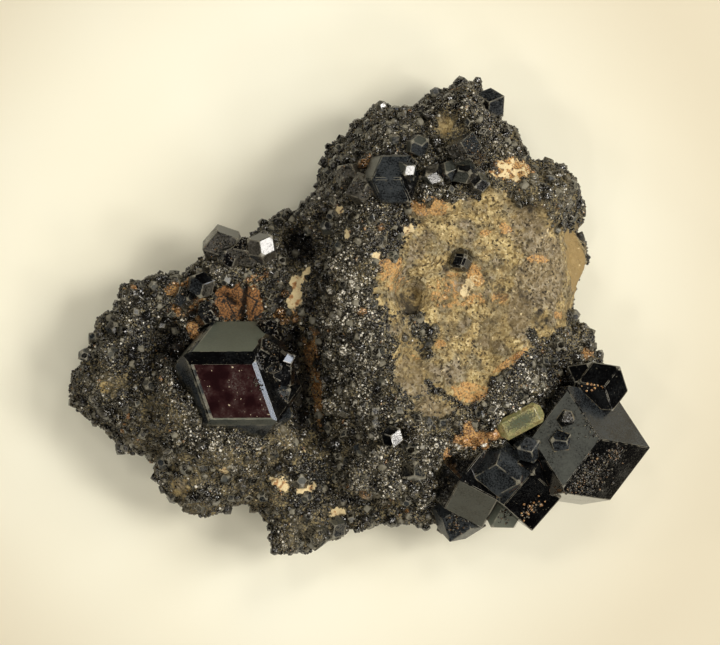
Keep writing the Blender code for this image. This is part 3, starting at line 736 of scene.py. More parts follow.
# The ellipses of each ground: x, y, across, along, turn and strength, as in Patch.
PATCHES: dict[Ground, list[tuple[float, ...]]] = {
    Ground.COOL: [
        (32.2, 1.6, 2.6, 6.5, 0, 0.9), (33.0, 17.5, 4.0, 4.5, 30, 0.6),
        (12.0, 13.0, 1.8, 3.0, 0, 0.6), (24.0, 20.5, 3.0, 2.0, 0, 0.4),
        (37.5, 6.0, 3.0, 6.0, 0, 0.35), (37.0, 9.0, 5.0, 9.0, 0, 0.75),
        (10.0, -12.0, 3.4, 5.0, 0, 0.6), (15.0, -18.0, 4.4, 2.2, -12, 0.7),
    ],
    Ground.SLAB: [
        (43.6, 11.0, 1.9, 6.6, 8, 1.0),
    ],
    Ground.RUST: [
        (6.6, 8.6, 2.6, 4.0, 20, 0.5), (18.2, 5.2, 4.4, 3.6, 30, 0.45),
        (14.3, 21.4, 4.4, 1.8, 0, 0.75), (22.9, 8.3, 1.6, 2.6, 20, 1.0),
        (22.0, 3.8, 3.0, 2.0, 0, 0.5), (29.0, 17.4, 1.4, 1.1, 0, 0.85),
        (25.2, 16.5, 1.4, 0.6, 10, 0.8), (35.4, 11.3, 2.6, 0.9, 0, 0.7),
        (7.0, 10.0, 2.2, 1.6, 40, 0.8), (21.9, -14.6, 3.2, 2.4, 0, 0.75),
        (30.0, -8.6, 4.0, 0.7, 35, 0.7), (11.3, -7.9, 1.3, 0.4, -20, 1.0),
        (16.3, -5.3, 0.9, 0.9, 0, 0.8), (39.5, 0.4, 1.2, 0.9, 0, 0.7),
        (28.2, 3.6, 2.2, 1.6, 0, 0.55), (22.6, -24.0, 3.6, 1.5, 0, 1.0),
        (21.6, -22.0, 1.2, 1.3, 0, 1.0), (28.0, -22.8, 3.2, 0.7, 10, 0.9),
        (17.6, -27.0, 0.7, 1.8, 0, 0.8), (-9.4, -6.0, 1.8, 4.6, 0, 0.6),
        (-8.0, -15.5, 1.3, 6.5, 6, 0.6), (-34.0, 3.0, 4.6, 3.0, 40, 0.5),
        (-36.5, 5.6, 2.2, 1.4, 30, 0.6), (-32.5, -2.5, 1.2, 2.4, 20, 0.7),
        (-19.5, 8.0, 3.4, 0.8, 20, 0.5), (-14.0, 0.2, 4.0, 1.8, 10, 0.45),
        (46.0, -7.5, 2.0, 1.0, -40, 0.7), (10.8, 33.0, 1.0, 2.0, 0, 0.4),
        (30.4, 28.8, 3.8, 2.4, 0, 0.95),
    ],
    Ground.CREAM: [
        (-12.5, 3.4, 1.5, 1.7, 0, 1.0), (-12.2, 6.2, 1.3, 1.9, 0, 1.0),
        (-10.4, 8.4, 0.7, 1.8, -30, 0.9), (30.4, 28.8, 3.8, 2.4, 0, 0.55),
        (-15.1, -33.1, 2.1, 1.1, -20, 0.9), (-10.2, -34.1, 2.1, 1.0, 10, 0.85),
        (-3.9, -39.4, 1.4, 1.3, 0, 0.9), (-25.9, -30.4, 1.0, 0.8, 0, 0.8),
        (-3.3, 21.0, 0.9, 0.9, 0, 0.8), (-2.0, 16.0, 0.5, 1.6, 0, 0.7),
        (10.0, 17.0, 1.6, 0.9, 40, 0.75), (22.0, 6.0, 2.6, 1.4, 60, 0.55),
        (4.0, 11.8, 1.2, 0.9, 0, 0.8),
    ],
    Ground.BARE: [
        (-49.2, -14.2, 2.6, 1.5, 0, 0.5), (-50.6, -9.6, 1.2, 0.9, 0, 0.5),
        (-34.7, -33.9, 2.8, 2.2, 0, 0.6), (17.3, 37.6, 1.4, 2.0, 0, 0.8),
        (10.6, -10.5, 3.4, 6.0, 8, 0.85), (15.4, -17.4, 4.4, 2.2, -12, 0.8),
        (8.2, -1.6, 2.6, 2.6, 0, 0.7),
    ],
    Ground.GLINTING_FROST: [
        (-2.0, -6.0, 6.5, 20.0, 0, 1.0), (31.0, -15.0, 7.0, 3.4, 35, 0.6),
        (5.5, -29.0, 9.0, 7.0, 0, 0.5),
    ],
    Ground.CLAY: [
        (-25.2, 3.0, 3.0, 3.9, 0, 1.0), (-20.6, 2.6, 1.9, 3.9, 8, 1.0),
    ],
    Ground.SILT: [
        (-38.5, -19.0, 4.5, 5.0, 0, 0.5), (-29.0, -29.5, 9.0, 3.6, 0, 0.7),
        (-21.5, -36.5, 6.5, 3.6, 0, 0.75), (-14.5, -25.0, 6.0, 4.5, 20, 0.55),
        (-33.0, -38.0, 5.0, 2.6, 0, 0.7), (-7.5, -42.5, 6.0, 5.0, 0, 0.45),
        (-50.0, -13.6, 3.2, 2.6, 0, 0.4), (-42.5, -27.5, 5.0, 4.0, -35, 0.6),
        (-12.0, -12.0, 3.6, 9.0, 0, 0.55), (11.5, 4.0, 3.6, 2.2, 0, 0.9),
        (31.5, 0.5, 3.6, 4.0, 0, 0.9), (26.0, -4.0, 3.0, 2.0, 30, 0.7),
        (20.0, 10.5, 3.0, 3.0, 0, 0.4), (38.0, 20.0, 4.0, 4.0, 0, 0.7),
        (37.5, 25.5, 5.5, 6.5, 20, 0.75), (30.0, 25.5, 4.5, 3.0, 0, 0.6),
        (18.0, 37.0, 4.0, 5.0, 0, 0.5), (9.0, -9.0, 4.5, 6.0, 0, 0.6),
        (4.0, 8.0, 4.0, 5.0, 0, 0.35), (43.0, -3.0, 3.0, 5.0, 0, 0.5),
        (14.0, -18.0, 4.0, 4.0, 0, 0.55),
    ],
    # Painted shade: cracks, pits and valleys darkened towards black.
    Ground.SHADE: [
        (-22.6, 3.4, 0.5, 4.4, -8, 1.0), (-25.0, 3.2, 1.5, 0.45, -36, 1.0),
        (-36.6, -6.0, 2.0, 3.4, 0, 0.9), (-9.0, -7.0, 2.4, 8.0, 0, 0.5),
        (-11.2, 14.5, 2.4, 2.4, 0, 1.0), (-11.4, -16.4, 2.0, 5.6, 0, 1.0),
        (-12.6, -5.6, 1.6, 4.0, 0, 0.7), (-43.0, -10.5, 4.6, 5.0, 0, 0.3),
        (-34.5, -9.0, 2.4, 6.0, 0, 0.6), (10.4, 1.3, 1.7, 0.9, 20, 0.8),
        (17.4, 9.8, 0.8, 1.6, 20, 0.5), (28.5, 4.8, 2.8, 1.8, -30, 0.5),
        (33.0, 5.6, 1.4, 4.0, 0, 0.45), (9.6, 3.8, 2.2, 2.0, 0, 0.5),
        (33.2, 21.4, 2.0, 1.2, -20, 0.5), (36.0, -0.5, 2.2, 2.6, 0, 0.5),
    ],
}


def slow_noise(
    places: np.ndarray, size: float, shift: tuple[float, float, float] = (0.0, 0.0, 0.0)
) -> np.ndarray:
    """Smooth noise with clouds about `size` mm wide, about -0.7 to 0.7 at each place."""
    return np.array([noise.noise(Vector(p) / size + Vector(shift)) for p in places])


@dataclass
class GroundMap:
    """Says which ground lies at any place of the plate."""

    lowest: float = 7.0
    border: float = 1.0
    ragged_size: float = 2.2
    cloud_size: float = 6.0
    cell: float = 1.0
    blur: float = 3.0
    corner: tuple[float, float] = (-64.0, -54.0)
    cells: tuple[int, int] = (130, 110)
    # How far noise carries the hollow's rim, and what lays silt: low places, specks, clouds.
    ragged_rim: float = 2.4
    silt_depth: float = 2.5
    silt_lying: float = 0.35
    silt_ragged: float = 0.25
    silt_cloudy: float = 0.6
    mean_height: np.ndarray | None = None

    def cell_rows(self, places: np.ndarray) -> tuple[np.ndarray, np.ndarray]:
        """The cell of the height map that each place lies in.

        Args:
            places: Rows of x, y, z in mm.

        Returns:
            The cells' columns and rows.
        """
        column = ((places[:, 0] - self.corner[0]) / self.cell).astype(int)
        row = ((places[:, 1] - self.corner[1]) / self.cell).astype(int)
        return np.clip(column, 0, self.cells[0] - 1), np.clip(row, 0, self.cells[1] - 1)

    def learn_heights(self, places: np.ndarray) -> None:
        """Keeps the plate's mean height round every spot.

        Args:
            places: The plate's points, rows of x, y, z in mm.
        """
        heights = np.zeros(self.cells)
        np.maximum.at(heights, self.cell_rows(places), places[:, 2])
        weight = (heights > 0).astype(float)
        reach = int(3 * self.blur)
        kernel = np.exp(-0.5 * (np.arange(-reach, reach + 1) / self.blur) ** 2)
        for axis in (0, 1):
            heights = np.apply_along_axis(np.convolve, axis, heights, kernel, "same")
            weight = np.apply_along_axis(np.convolve, axis, weight, kernel, "same")
        self.mean_height = heights / np.maximum(weight, 1e-6)

    def depth(self, places: np.ndarray) -> np.ndarray:
        """How far each place lies below the plate's mean height round it, in mm.

        Args:
            places: Rows of x, y, z in mm.

        Returns:
            A depth for each place, above 0 in hollows.
        """
        if self.mean_height is None:
            return np.zeros(len(places))
        return self.mean_height[self.cell_rows(places)] - places[:, 2]

    def ragged(self, places: np.ndarray) -> np.ndarray:
        """Noise that breaks the borders of the patches, about -0.5 to 0.5."""
        scaled = places / self.ragged_size
        return np.array([noise.fractal(Vector(p), 1.0, 2.0, 3) for p in scaled]) * 0.6

    def hollow_share(self, places: np.ndarray, ragged: np.ndarray) -> np.ndarray:
        """How far inside the bare hollow's outline each place is.

        Args:
            places: Rows of x, y, z in mm.
            ragged: Noise at each place.

        Returns:
            1 well inside the outline and 0 outside.
        """
        corners = np.array(BARE_HOLLOW)
        ends = np.roll(corners, -1, axis=0)
        distance = np.full(len(places), 1e9)
        inside = np.zeros(len(places), bool)
        x, y = places[:, 0], places[:, 1]
        for (x0, y0), (x1, y1) in zip(corners, ends):
            run = np.array([x1 - x0, y1 - y0])
            along = ((x - x0) * run[0] + (y - y0) * run[1]) / (run @ run)
            along = np.clip(along, 0, 1)
            gap = np.hypot(x - x0 - along * run[0], y - y0 - along * run[1])
            distance = np.minimum(distance, gap)
            crosses = ((y0 > y) != (y1 > y)) & (
                x < x0 + (y - y0) * (x1 - x0) / ((y1 - y0) or 1e-9)
            )
            inside ^= crosses
        signed = np.where(inside, distance, -distance) + self.ragged_rim * ragged
        return np.clip(signed / self.border + 0.5, 0, 1)

    def shares(self, places: np.ndarray) -> dict[Ground, np.ndarray]:
        """The share of every ground at each place.

        Args:
            places: Rows of x, y, z in mm.

        Returns:
            For each ground, a value from 0 to 1 for each place.
        """
        ragged = self.ragged(places)
        found = {ground: np.zeros(len(places)) for ground in Ground}
        found[Ground.BARE] = self.hollow_share(places, ragged)
        for ground, rows in PATCHES.items():
            for row in rows:
                found[ground] = np.maximum(found[ground], Patch(*row).share(places, ragged))
        lying = np.clip(self.depth(places) / self.silt_depth, 0, self.silt_lying)
        clouds = slow_noise(places, self.cloud_size)
        silt = found[Ground.SILT] + lying + self.silt_ragged * ragged + self.silt_cloudy * clouds
        found[Ground.SILT] = np.clip(silt, 0, 1)
        upper = np.clip((places[:, 2] - self.lowest) / 2, 0, 1)
        return {ground: share * upper for ground, share in found.items()}


# ---------------------------------------------------------------- mesh helpers


def keep_values(mesh: bpy.types.Mesh, name: str, values: np.ndarray) -> None:
    """Stores one number for each point of a mesh, which materials read by name."""
    layer = mesh.attributes.new(name, "FLOAT", "POINT")
    layer.data.foreach_set("value", np.asarray(values, np.float32))


def places_of(mesh: bpy.types.Mesh) -> np.ndarray:
    """The vertices of a mesh as rows of x, y, z in mm.

    Args:
        mesh: The mesh.

    Returns:
        One row for each vertex.
    """
    flat = np.empty(len(mesh.vertices) * 3, np.float32)
    mesh.vertices.foreach_get("co", flat)
    return flat.reshape(-1, 3).astype(float) / MM


def put_places(mesh: bpy.types.Mesh, places: np.ndarray) -> None:
    """Moves the vertices of a mesh to rows of x, y, z in mm."""
    mesh.vertices.foreach_set("co", (places * MM).astype(np.float32).ravel())
    mesh.update()


def normals_of(mesh: bpy.types.Mesh) -> np.ndarray:
    """The vertex normals of a mesh, one row each.

    Args:
        mesh: The mesh.

    Returns:
        Rows of x, y, z, each of length 1.
    """
    flat = np.empty(len(mesh.vertices) * 3, np.float32)
    mesh.vertex_normals.foreach_get("vector", flat)
    return flat.reshape(-1, 3).astype(float)


def baked(obj: bpy.types.Object) -> bpy.types.Mesh:
    """The object's mesh with its modifiers worked in.

    Args:
        obj: The object.

    Returns:
        A new mesh.
    """
    bpy.context.view_layer.update()
    graph = bpy.context.evaluated_depsgraph_get()
    return bpy.data.meshes.new_from_object(obj.evaluated_get(graph))


@contextmanager
def edited(mesh: bpy.types.Mesh) -> Iterator[bmesh.types.BMesh]:
    """Opens a mesh for editing and writes it back at the end.

    Args:
        mesh: The mesh, which may be empty.

    Yields:
        Its corners and faces, to be edited.
    """
    bm = bmesh.new()
    bm.from_mesh(mesh)
    yield bm
    bm.to_mesh(mesh)
    bm.free()


def link(name: str, mesh: bpy.types.Mesh) -> bpy.types.Object:
    """Adds an object with a mesh to the scene.

    Args:
        name: The object's name.
        mesh: Its mesh.

    Returns:
        The object.
    """
    obj = bpy.data.objects.new(name, mesh)
    bpy.context.scene.collection.objects.link(obj)
    return obj


def dress(
    obj: bpy.types.Object,
    finishes: Iterable[bpy.types.Material],
    stands_for: Sequence[str] = (),
) -> None:
    """Gives a finished piece its materials and its place in the model.

    Args:
        obj: The piece.
        finishes: Its materials, in the order of its faces' numbers.
        stands_for: The CAD nodes that it replaces.
    """
    numbers = np.zeros(len(obj.data.polygons), np.int32)
    obj.data.polygons.foreach_get("material_index", numbers)
    obj.data.materials.clear()
    for finish in finishes:
        obj.data.materials.append(finish)
    obj.data.polygons.foreach_set("material_index", numbers)
    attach(obj, ROOT)
    if stands_for:
        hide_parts(*stands_for)
    LOG.info("%s: %d faces", obj.name, len(obj.data.polygons))


# ---------------------------------------------------------------- crystals


def compass(degrees: float) -> Vector:
    """The level unit vector of a compass direction, anticlockwise from +X."""
    angle = math.radians(degrees)
    return Vector((math.cos(angle), math.sin(angle), 0))


def signed_permutations(numbers: Sequence[float]) -> list[Vector]:
    """Every direction that a crystal's cubic symmetry makes from one direction.

    Args:
        numbers: The direction's three parts.

    Returns:
        The unit vectors, in a fixed order.
    """
    found = set()
    for order in itertools.permutations(numbers):
        for signs in itertools.product((1, -1), repeat=3):
            found.add(tuple(sign * value for sign, value in zip(signs, order)))
    return [Vector(v).normalized() for v in sorted(found)]


RHOMBIC_NORMALS = signed_permutations((1, 1, 0))
BEVEL_NORMALS = signed_permutations((2, 1, 1))
EDGE_REACH = 2 / math.sqrt(3)
DOWN = Vector((0, 0, -1))
ABOVE_ALL = 100.0
MOST_HALVINGS = 8
# The materials read the edges, joints and seat only so far off, in mm.
EDGE_READ, JOINT_READ, SEAT_READ, FAR_OFF = 1.0, 3.0, 5.0, 9.0
Plane = tuple[Vector, float]


@dataclass(frozen=True)
class Crystal:
    """A garnet: a rhombic dodecahedron with bevelled edges. Sizes in mm, angles in degrees.

    `reach` is from the centre to the faces, `turn` the compass direction of the uppermost
    face's long diagonal, and that face leans by `lean` towards `towards`. Where z is None
    the crystal is set to the height of the CAD node that it belongs to.
    """

    x: float
    y: float
    z: float | None
    reach: float
    turn: float
    lean: float = 0.0
    towards: float = 0.0
    bevel: float = 0.05
    top_step: float = 0.0

    def attitude(self) -> Matrix:
        """The rotation that stands the crystal as its turn and lean say.

        Returns:
            The rotation from the lattice's axes to the frame's.
        """
        top_face = Vector((1, 1, 0)).normalized()
        long_diagonal = Vector((1, -1, 0)).normalized()
        short_diagonal = top_face.cross(long_diagonal)
        level = Matrix((long_diagonal, short_diagonal, top_face))
        turned = Matrix.Rotation(math.radians(self.turn), 3, "Z")
        hinge = Vector((0, 0, 1)).cross(compass(self.towards))
        leaned = Matrix.Rotation(math.radians(self.lean), 3, hinge)
        return leaned @ turned @ level

    def planes(self) -> list[Plane]:
        """The direction and distance of each face, rhombic ones and the uppermost first.

        Returns:
            The planes, with distances in mm from the crystal's middle.
        """
        rotation = self.attitude()
        normals = sorted((rotation @ n for n in RHOMBIC_NORMALS), key=lambda n: -n.z)
        top = normals[0]
        faces = [(top, self.reach + self.top_step)]
        faces += [(n, self.reach) for n in normals[1:]]
        for normal in (rotation @ n for n in BEVEL_NORMALS):
            near_top = self.top_step / 2 if normal.dot(top) > 0.8 else 0
            faces.append((normal, (self.reach + near_top) * EDGE_REACH - self.bevel))
        return faces

    def sides(self) -> list[Plane]:
        """The direction and distance of each rhombic face, the uppermost first."""
        return self.planes()[: len(RHOMBIC_NORMALS)]

    def gaps(self, places: np.ndarray, planes: Sequence[Plane]) -> np.ndarray:
        """How far outside each of its planes each place lies.

        Args:
            places: Rows of x, y, z in mm.
            planes: Faces as (direction, distance) from the crystal's centre.

        Returns:
            Distances in mm, a row for each place.
        """
        normals = np.array([n for n, _ in planes])
        reaches = np.array([d for _, d in planes])
        away = places - np.array([self.x, self.y, self.z])
        return away @ normals.T - reaches

    def at_height(self, node_tree: BVHTree) -> "Crystal":
        """The crystal with its height taken from the CAD node.

        Args:
            node_tree: The CAD node's faces, in mm.

        Returns:
            The crystal with a number for z.
        """
        if self.z is not None:
            return self
        top, distance = self.planes()[0]
        hit = node_tree.ray_cast(Vector((self.x, self.y, ABOVE_ALL)), DOWN)[0]
        return replace(self, z=hit.z - distance / top.z)


@dataclass(frozen=True)
class EdgeSteps:
    """Narrow growth steps along the edge between two faces of a crystal.

    Each step is (width in mm, tilt from the first face in degrees), outwards from it, and
    `faces` are their finishes in turn.
    """

    first: tuple[float, float, float]
    second: tuple[float, float, float]
    start: float
    steps: tuple[tuple[float, float], ...]
    faces: tuple[Face, ...]

    def planes(self, faces: list[Plane]) -> list[Plane]:
        """The steps as cutting planes.

        Args:
            faces: The crystal's rhombic faces as (direction, distance).

        Returns:
            One (direction, distance) for each step.
        """
        n1, d1 = max(faces, key=lambda f: f[0].dot(Vector(self.first)))
        n2, d2 = max(faces, key=lambda f: f[0].dot(Vector(self.second)))
        c = n1.dot(n2)
        edge = n1 * ((d1 - c * d2) / (1 - c * c)) + n2 * ((d2 - c * d1) / (1 - c * c))
        outward = (n2 - n1 * c).normalized()
        point = edge - outward * self.start
        found = []
        for width, tilt in self.steps:
            angle = math.radians(tilt)
            normal = n1 * math.cos(angle) + outward * math.sin(angle)
            found.append((normal, normal.dot(point)))
            point = point + (outward * math.cos(angle) - n1 * math.sin(angle)) * width
        return found


def cut_crystal(crystal: Crystal, more: Sequence[Plane] = ()) -> bpy.types.Mesh:
    """A convex mesh: a cube cut down by each of the crystal's planes in turn.

    Args:
        crystal: The crystal.
        more: Further cutting planes.

    Returns:
        The mesh, in metres and in place.
    """
    mesh = bpy.data.meshes.new("crystal")
    middle = Vector((crystal.x, crystal.y, crystal.z)) * MM
    with edited(mesh) as bm:
        bmesh.ops.create_cube(bm, size=4 * crystal.reach * MM)
        for normal, distance in crystal.planes() + list(more):
            cut = bmesh.ops.bisect_plane(
                bm,
                geom=bm.verts[:] + bm.edges[:] + bm.faces[:],
                dist=CUT_SLACK,
                plane_co=normal * distance * MM,
                plane_no=normal,
                clear_outer=True,
            )
            rim = [e for e in cut["geom_cut"] if isinstance(e, bmesh.types.BMEdge)]
            if rim:
                bmesh.ops.edgeloop_fill(bm, edges=rim)
        bmesh.ops.remove_doubles(bm, verts=bm.verts[:], dist=WELD)
        bmesh.ops.dissolve_degenerate(bm, edges=bm.edges[:], dist=WELD)
        bmesh.ops.recalc_face_normals(bm, faces=bm.faces[:])
        bmesh.ops.translate(bm, verts=bm.verts[:], vec=middle)
    return mesh


def outside_distance(crystal: Crystal, places: np.ndarray) -> np.ndarray:
    """How far in mm each place is outside a crystal, below 0 inside it."""
    return crystal.gaps(places, crystal.sides()).max(axis=1)


def edge_distance(
    crystal: Crystal, places: np.ndarray, more: Sequence[Plane] = ()
) -> np.ndarray:
    """About how far in mm each place is from a crystal's edge: its depth under a second face."""
    gaps = np.abs(crystal.gaps(places, crystal.planes() + list(more)))
    return np.partition(gaps, 1, axis=1)[:, 1]


def with_fine_faces(mesh: bpy.types.Mesh, longest: float) -> bpy.types.Mesh:
    """The mesh in triangles with no side much over `longest` mm, so it can hold values.

    Args:
        mesh: The mesh, which is changed.
        longest: The longest side in mm.

    Returns:
        The same mesh.
    """
    with edited(mesh) as bm:
        bmesh.ops.triangulate(bm, faces=bm.faces[:])
        for _ in range(MOST_HALVINGS):
            long_edges = [e for e in bm.edges if e.calc_length() > longest * MM]
            if not long_edges:
                break
            bmesh.ops.subdivide_edges(bm, edges=long_edges, cuts=1)
            bmesh.ops.triangulate(bm, faces=[f for f in bm.faces if len(f.verts) > 3])
    return mesh


@dataclass(frozen=True)
class FaceRule:
    """Which finish the faces of one crystal take that look most nearly `towards`."""

    crystal: int
    towards: tuple[float, float, float]
    face: Face
    nearness: float = 0.985


@dataclass
class GarnetGroup:
    """Garnets grown together, which stand for one CAD node."""

    name: str
    node: str
    crystals: list[Crystal]
    edge_steps: tuple[EdgeSteps, ...] = ()
    rules: tuple[FaceRule, ...] = ()
    usual: tuple[Face, ...] = (Face.GLASS,)
    finest: float = 0.9
    placed: list[Crystal] = field(default_factory=list)

    def place(self) -> None:
        """Finds the height of each crystal from the CAD node."""
        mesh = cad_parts[self.node].data
        mesh.calc_loop_triangles()
        corners = places_of(mesh)
        faces = [tuple(t.vertices) for t in mesh.loop_triangles]
        tree = BVHTree.FromPolygons([Vector(c) for c in corners], faces)
        self.placed = [crystal.at_height(tree) for crystal in self.crystals]

    def mesh(self) -> bpy.types.Mesh:
        """The crystals joined to one closed mesh.

        Returns:
            The group's mesh in triangles.
        """
        first = self.placed[0]
        whole = link(self.name, cut_crystal(first, self.step_planes()))
        others = [link("joined crystal", cut_crystal(c)) for c in self.placed[1:]]
        for other in others:
            join = whole.modifiers.new("join", "BOOLEAN")
            join.operation, join.solver, join.object = "UNION", "EXACT", other
        mesh = baked(whole)
        for obj in [whole] + others:
            bpy.data.objects.remove(obj)
        return with_fine_faces(mesh, self.finest)

    def joint_distance(self, places: np.ndarray) -> np.ndarray:
        """How far each place is from where two crystals of the group meet, in mm.

        Args:
            places: Rows of x, y, z in mm.

        Returns:
            A distance for each place.
        """
        if len(self.placed) < 2:
            return np.full(len(places), FAR_OFF)
        all_distances = np.array([outside_distance(c, places) for c in self.placed])
        nearest_two = np.sort(np.abs(all_distances), axis=0)[:2]
        return nearest_two[1]

    def step_planes(self) -> list[Plane]:
        """The faces of the growth steps on the first crystal."""
        faces = self.placed[0].sides()
        return [plane for step in self.edge_steps for plane in step.planes(faces)]

    def owners(self, places: np.ndarray) -> np.ndarray:
        """The number of the crystal whose surface each place lies on."""
        distances = [np.abs(outside_distance(crystal, places)) for crystal in self.placed]
        return np.array(distances).argmin(axis=0)

    def build(self, rock: "SkarnPlate", finishes: Sequence[bpy.types.Material]) -> None:
        """Makes the group and dresses it.

        Args:
            rock: The plate that it grew on.
            finishes: The materials of the faces.
        """
        mesh = self.mesh()
        places = places_of(mesh)
        edges = np.array(
            [
                edge_distance(crystal, places, self.step_planes() if number == 0 else ())
                for number, crystal in enumerate(self.placed)
            ]
        )
        edge = edges[self.owners(places), np.arange(len(places))]
        keep_values(mesh, "edge", np.clip(edge, 0, EDGE_READ))
        keep_values(mesh, "joint", np.clip(self.joint_distance(places), 0, JOINT_READ))
        keep_values(mesh, "seat", np.clip(rock.distance_to(places), 0, SEAT_READ))
        self.number_faces(mesh)
        dress(link(self.name, mesh), finishes, [self.node])

    def number_faces(self, mesh: bpy.types.Mesh) -> None:
        """Gives each face the number of its finish.

        Args:
            mesh: The group's mesh.
        """
        steps = [
            FaceRule(0, tuple(plane[0]), face, 0.99995)
            for step in self.edge_steps
            for plane, face in zip(step.planes(self.placed[0].sides()), step.faces)
        ]
        owners = self.owners(np.array([face.center for face in mesh.polygons]) / MM)
        sides = [np.array([normal for normal, _ in c.sides()]) for c in self.placed]
        for face, owner in zip(mesh.polygons, owners):
            side = int((sides[owner] @ np.array(face.normal)).argmax())
            face.material_index = self.usual[(side + 3 * owner) % len(self.usual)].value
            for rule in self.rules + tuple(steps):
                near = face.normal.dot(Vector(rule.towards).normalized()) > rule.nearness
                if near and owner == rule.crystal:
                    face.material_index = rule.face.value


# ---------------------------------------------------------------- the rock plate


@dataclass
class SkarnPlate:
    """The rock that carries the garnets: lumpy crust, bare hollow and broken back."""

    voxel: float = 0.6
    swell_size: float = 6.5
    swell_rise: float = 1.45
    lump_size: float = 3.2
    lump_rise: float = 0.8
    knot_size: float = 1.4
    knot_rise: float = 0.32
    grit_rises: tuple[float, float, float] = (0.25, 0.3, 0.9)
    grit_sizes: tuple[float, float, float] = (1.0, 2.3, 6.0)
    grit_sunk: float = 0.2
    # A lump's or a knot's own middle height, and how steeply it falls off.
    lump_middle: float = 0.6
    knot_middle: float = 0.55
    domed: float = 1.6
    inset: float = 0.3
    cleft: float = 1.2
    reach_to_garnet: float = 0.9
    drawn_over: float = 0.35
    tucked_in: float = 0.06
    already_in: float = -0.1
    grounds: GroundMap = field(default_factory=GroundMap)
    mesh: bpy.types.Mesh | None = None
    tree: BVHTree | None = None

    def shape(self) -> None:
        """Makes the plate's fine surface from the CAD node."""
        work = link("plate work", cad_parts["matrix"].data.copy())
        with edited(work.data) as bm:
            bmesh.ops.remove_doubles(bm, verts=bm.verts[:], dist=FINE_WELD)
        remesh = work.modifiers.new("fine grid", "REMESH")
        remesh.mode, remesh.voxel_size = "VOXEL", self.voxel * MM
        self.mesh = baked(work)
        bpy.data.objects.remove(work)
        self.roughen()

    def roughen(self) -> None:
        """Raises lumps and knots on the crust, and grit in the bare hollow."""
        places = places_of(self.mesh)
        normals = normals_of(self.mesh)
        self.grounds.learn_heights(places)
        shares = self.grounds.shares(places)
        bare, shade = shares[Ground.BARE], shares[Ground.SHADE]
        low, middle, high = self.grit_rises
        fine, medium, wide = self.grit_sizes
        rise = np.empty(len(places))
        for k, place in enumerate(places):
            spot = Vector(place)
            swell = noise.noise(spot / self.swell_size)
            lump = noise.voronoi(spot / self.lump_size)[0][0]
            knot = noise.voronoi(spot / self.knot_size)[0][0]
            crust = self.swell_rise * swell
            crust += self.lump_rise * (self.lump_middle - lump) * self.domed
            crust += self.knot_rise * (self.knot_middle - knot) * self.domed
            grit = low * noise.noise(spot / fine) + middle * noise.noise(spot / medium)
            grit += high * abs(noise.noise(spot / wide)) - self.grit_sunk
            rise[k] = crust * (1 - bare[k]) + grit * bare[k] - self.inset
            rise[k] -= self.cleft * shade[k]
        places += normals * rise[:, None]
        places[:, 2] = np.maximum(places[:, 2], 0.0)
        put_places(self.mesh, places)

    def close_sockets(self, garnets: Sequence[GarnetGroup]) -> None:
        """Draws the rock's rim onto the garnets, so no gap shows round them.

        Args:
            garnets: The placed garnet groups.
        """
        places = places_of(self.mesh)
        for crystal in (c for group in garnets for c in group.placed):
            middle = np.array([crystal.x, crystal.y, crystal.z])
            near = np.linalg.norm(places - middle, axis=1) < crystal.reach * 1.45 + 2
            rows = np.nonzero(near)[0]
            faces = crystal.sides()
            normals = np.array([n for n, _ in faces])
            reaches = np.array([d for _, d in faces])
            for row in rows:
                gaps = normals @ (places[row] - middle) - reaches
                side = gaps.argmax()
                gap = gaps[side]
                if self.already_in < gap < self.reach_to_garnet:
                    pull = min(1.0, (self.reach_to_garnet - gap) / self.drawn_over)
                    places[row] -= normals[side] * (gap + self.tucked_in) * pull
        put_places(self.mesh, places)

    def distance_to(self, places: np.ndarray) -> np.ndarray:
        """How far each place is from the rock's surface, in mm.

        Args:
            places: Rows of x, y, z in mm.

        Returns:
            A distance for each place.
        """
        if self.tree is None:
            self.mesh.calc_loop_triangles()
            corners = [Vector(c) for c in places_of(self.mesh)]
            faces = [tuple(p.vertices) for p in self.mesh.polygons]
            self.tree = BVHTree.FromPolygons(corners, faces)
        return np.array([self.tree.find_nearest(Vector(p))[3] for p in places])

    def build(self) -> None:
        """Dresses the plate with its grounds."""
        places = places_of(self.mesh)
        for ground, share in self.grounds.shares(places).items():
            keep_values(self.mesh, ground.value, share)
        self.mesh.polygons.foreach_set("use_smooth", [True] * len(self.mesh.polygons))
        obj = link("skarn_plate", self.mesh)
        dress(obj, [WeatheredSkarn().material()], ["matrix"])

    def height_at(self, x: float, y: float, clear: float) -> float:
        """The rock's mean height in mm on a ring of radius `clear` round a spot.

        Args:
            x: The spot's x in mm.
            y: Its y in mm.
            clear: The ring's radius in mm.

        Returns:
            The height in mm.
        """
        self.distance_to(np.zeros((0, 3)))
        heights = []
        for step in range(8):
            spot = Vector((x, y, ABOVE_ALL)) + compass(step * 45) * clear
            hit = self.tree.ray_cast(spot, DOWN)[0]
            if hit is not None:
                heights.append(hit.z)
        return sum(heights) / len(heights)


# ---------------------------------------------------------------- the druse


class DrusePart(Enum):
    """The druse's pieces, by where they lie on the plate."""

    WEST = "druse_west"
    MIDDLE = "druse_middle"
    EAST = "druse_east"
    BACK = "druse_back"


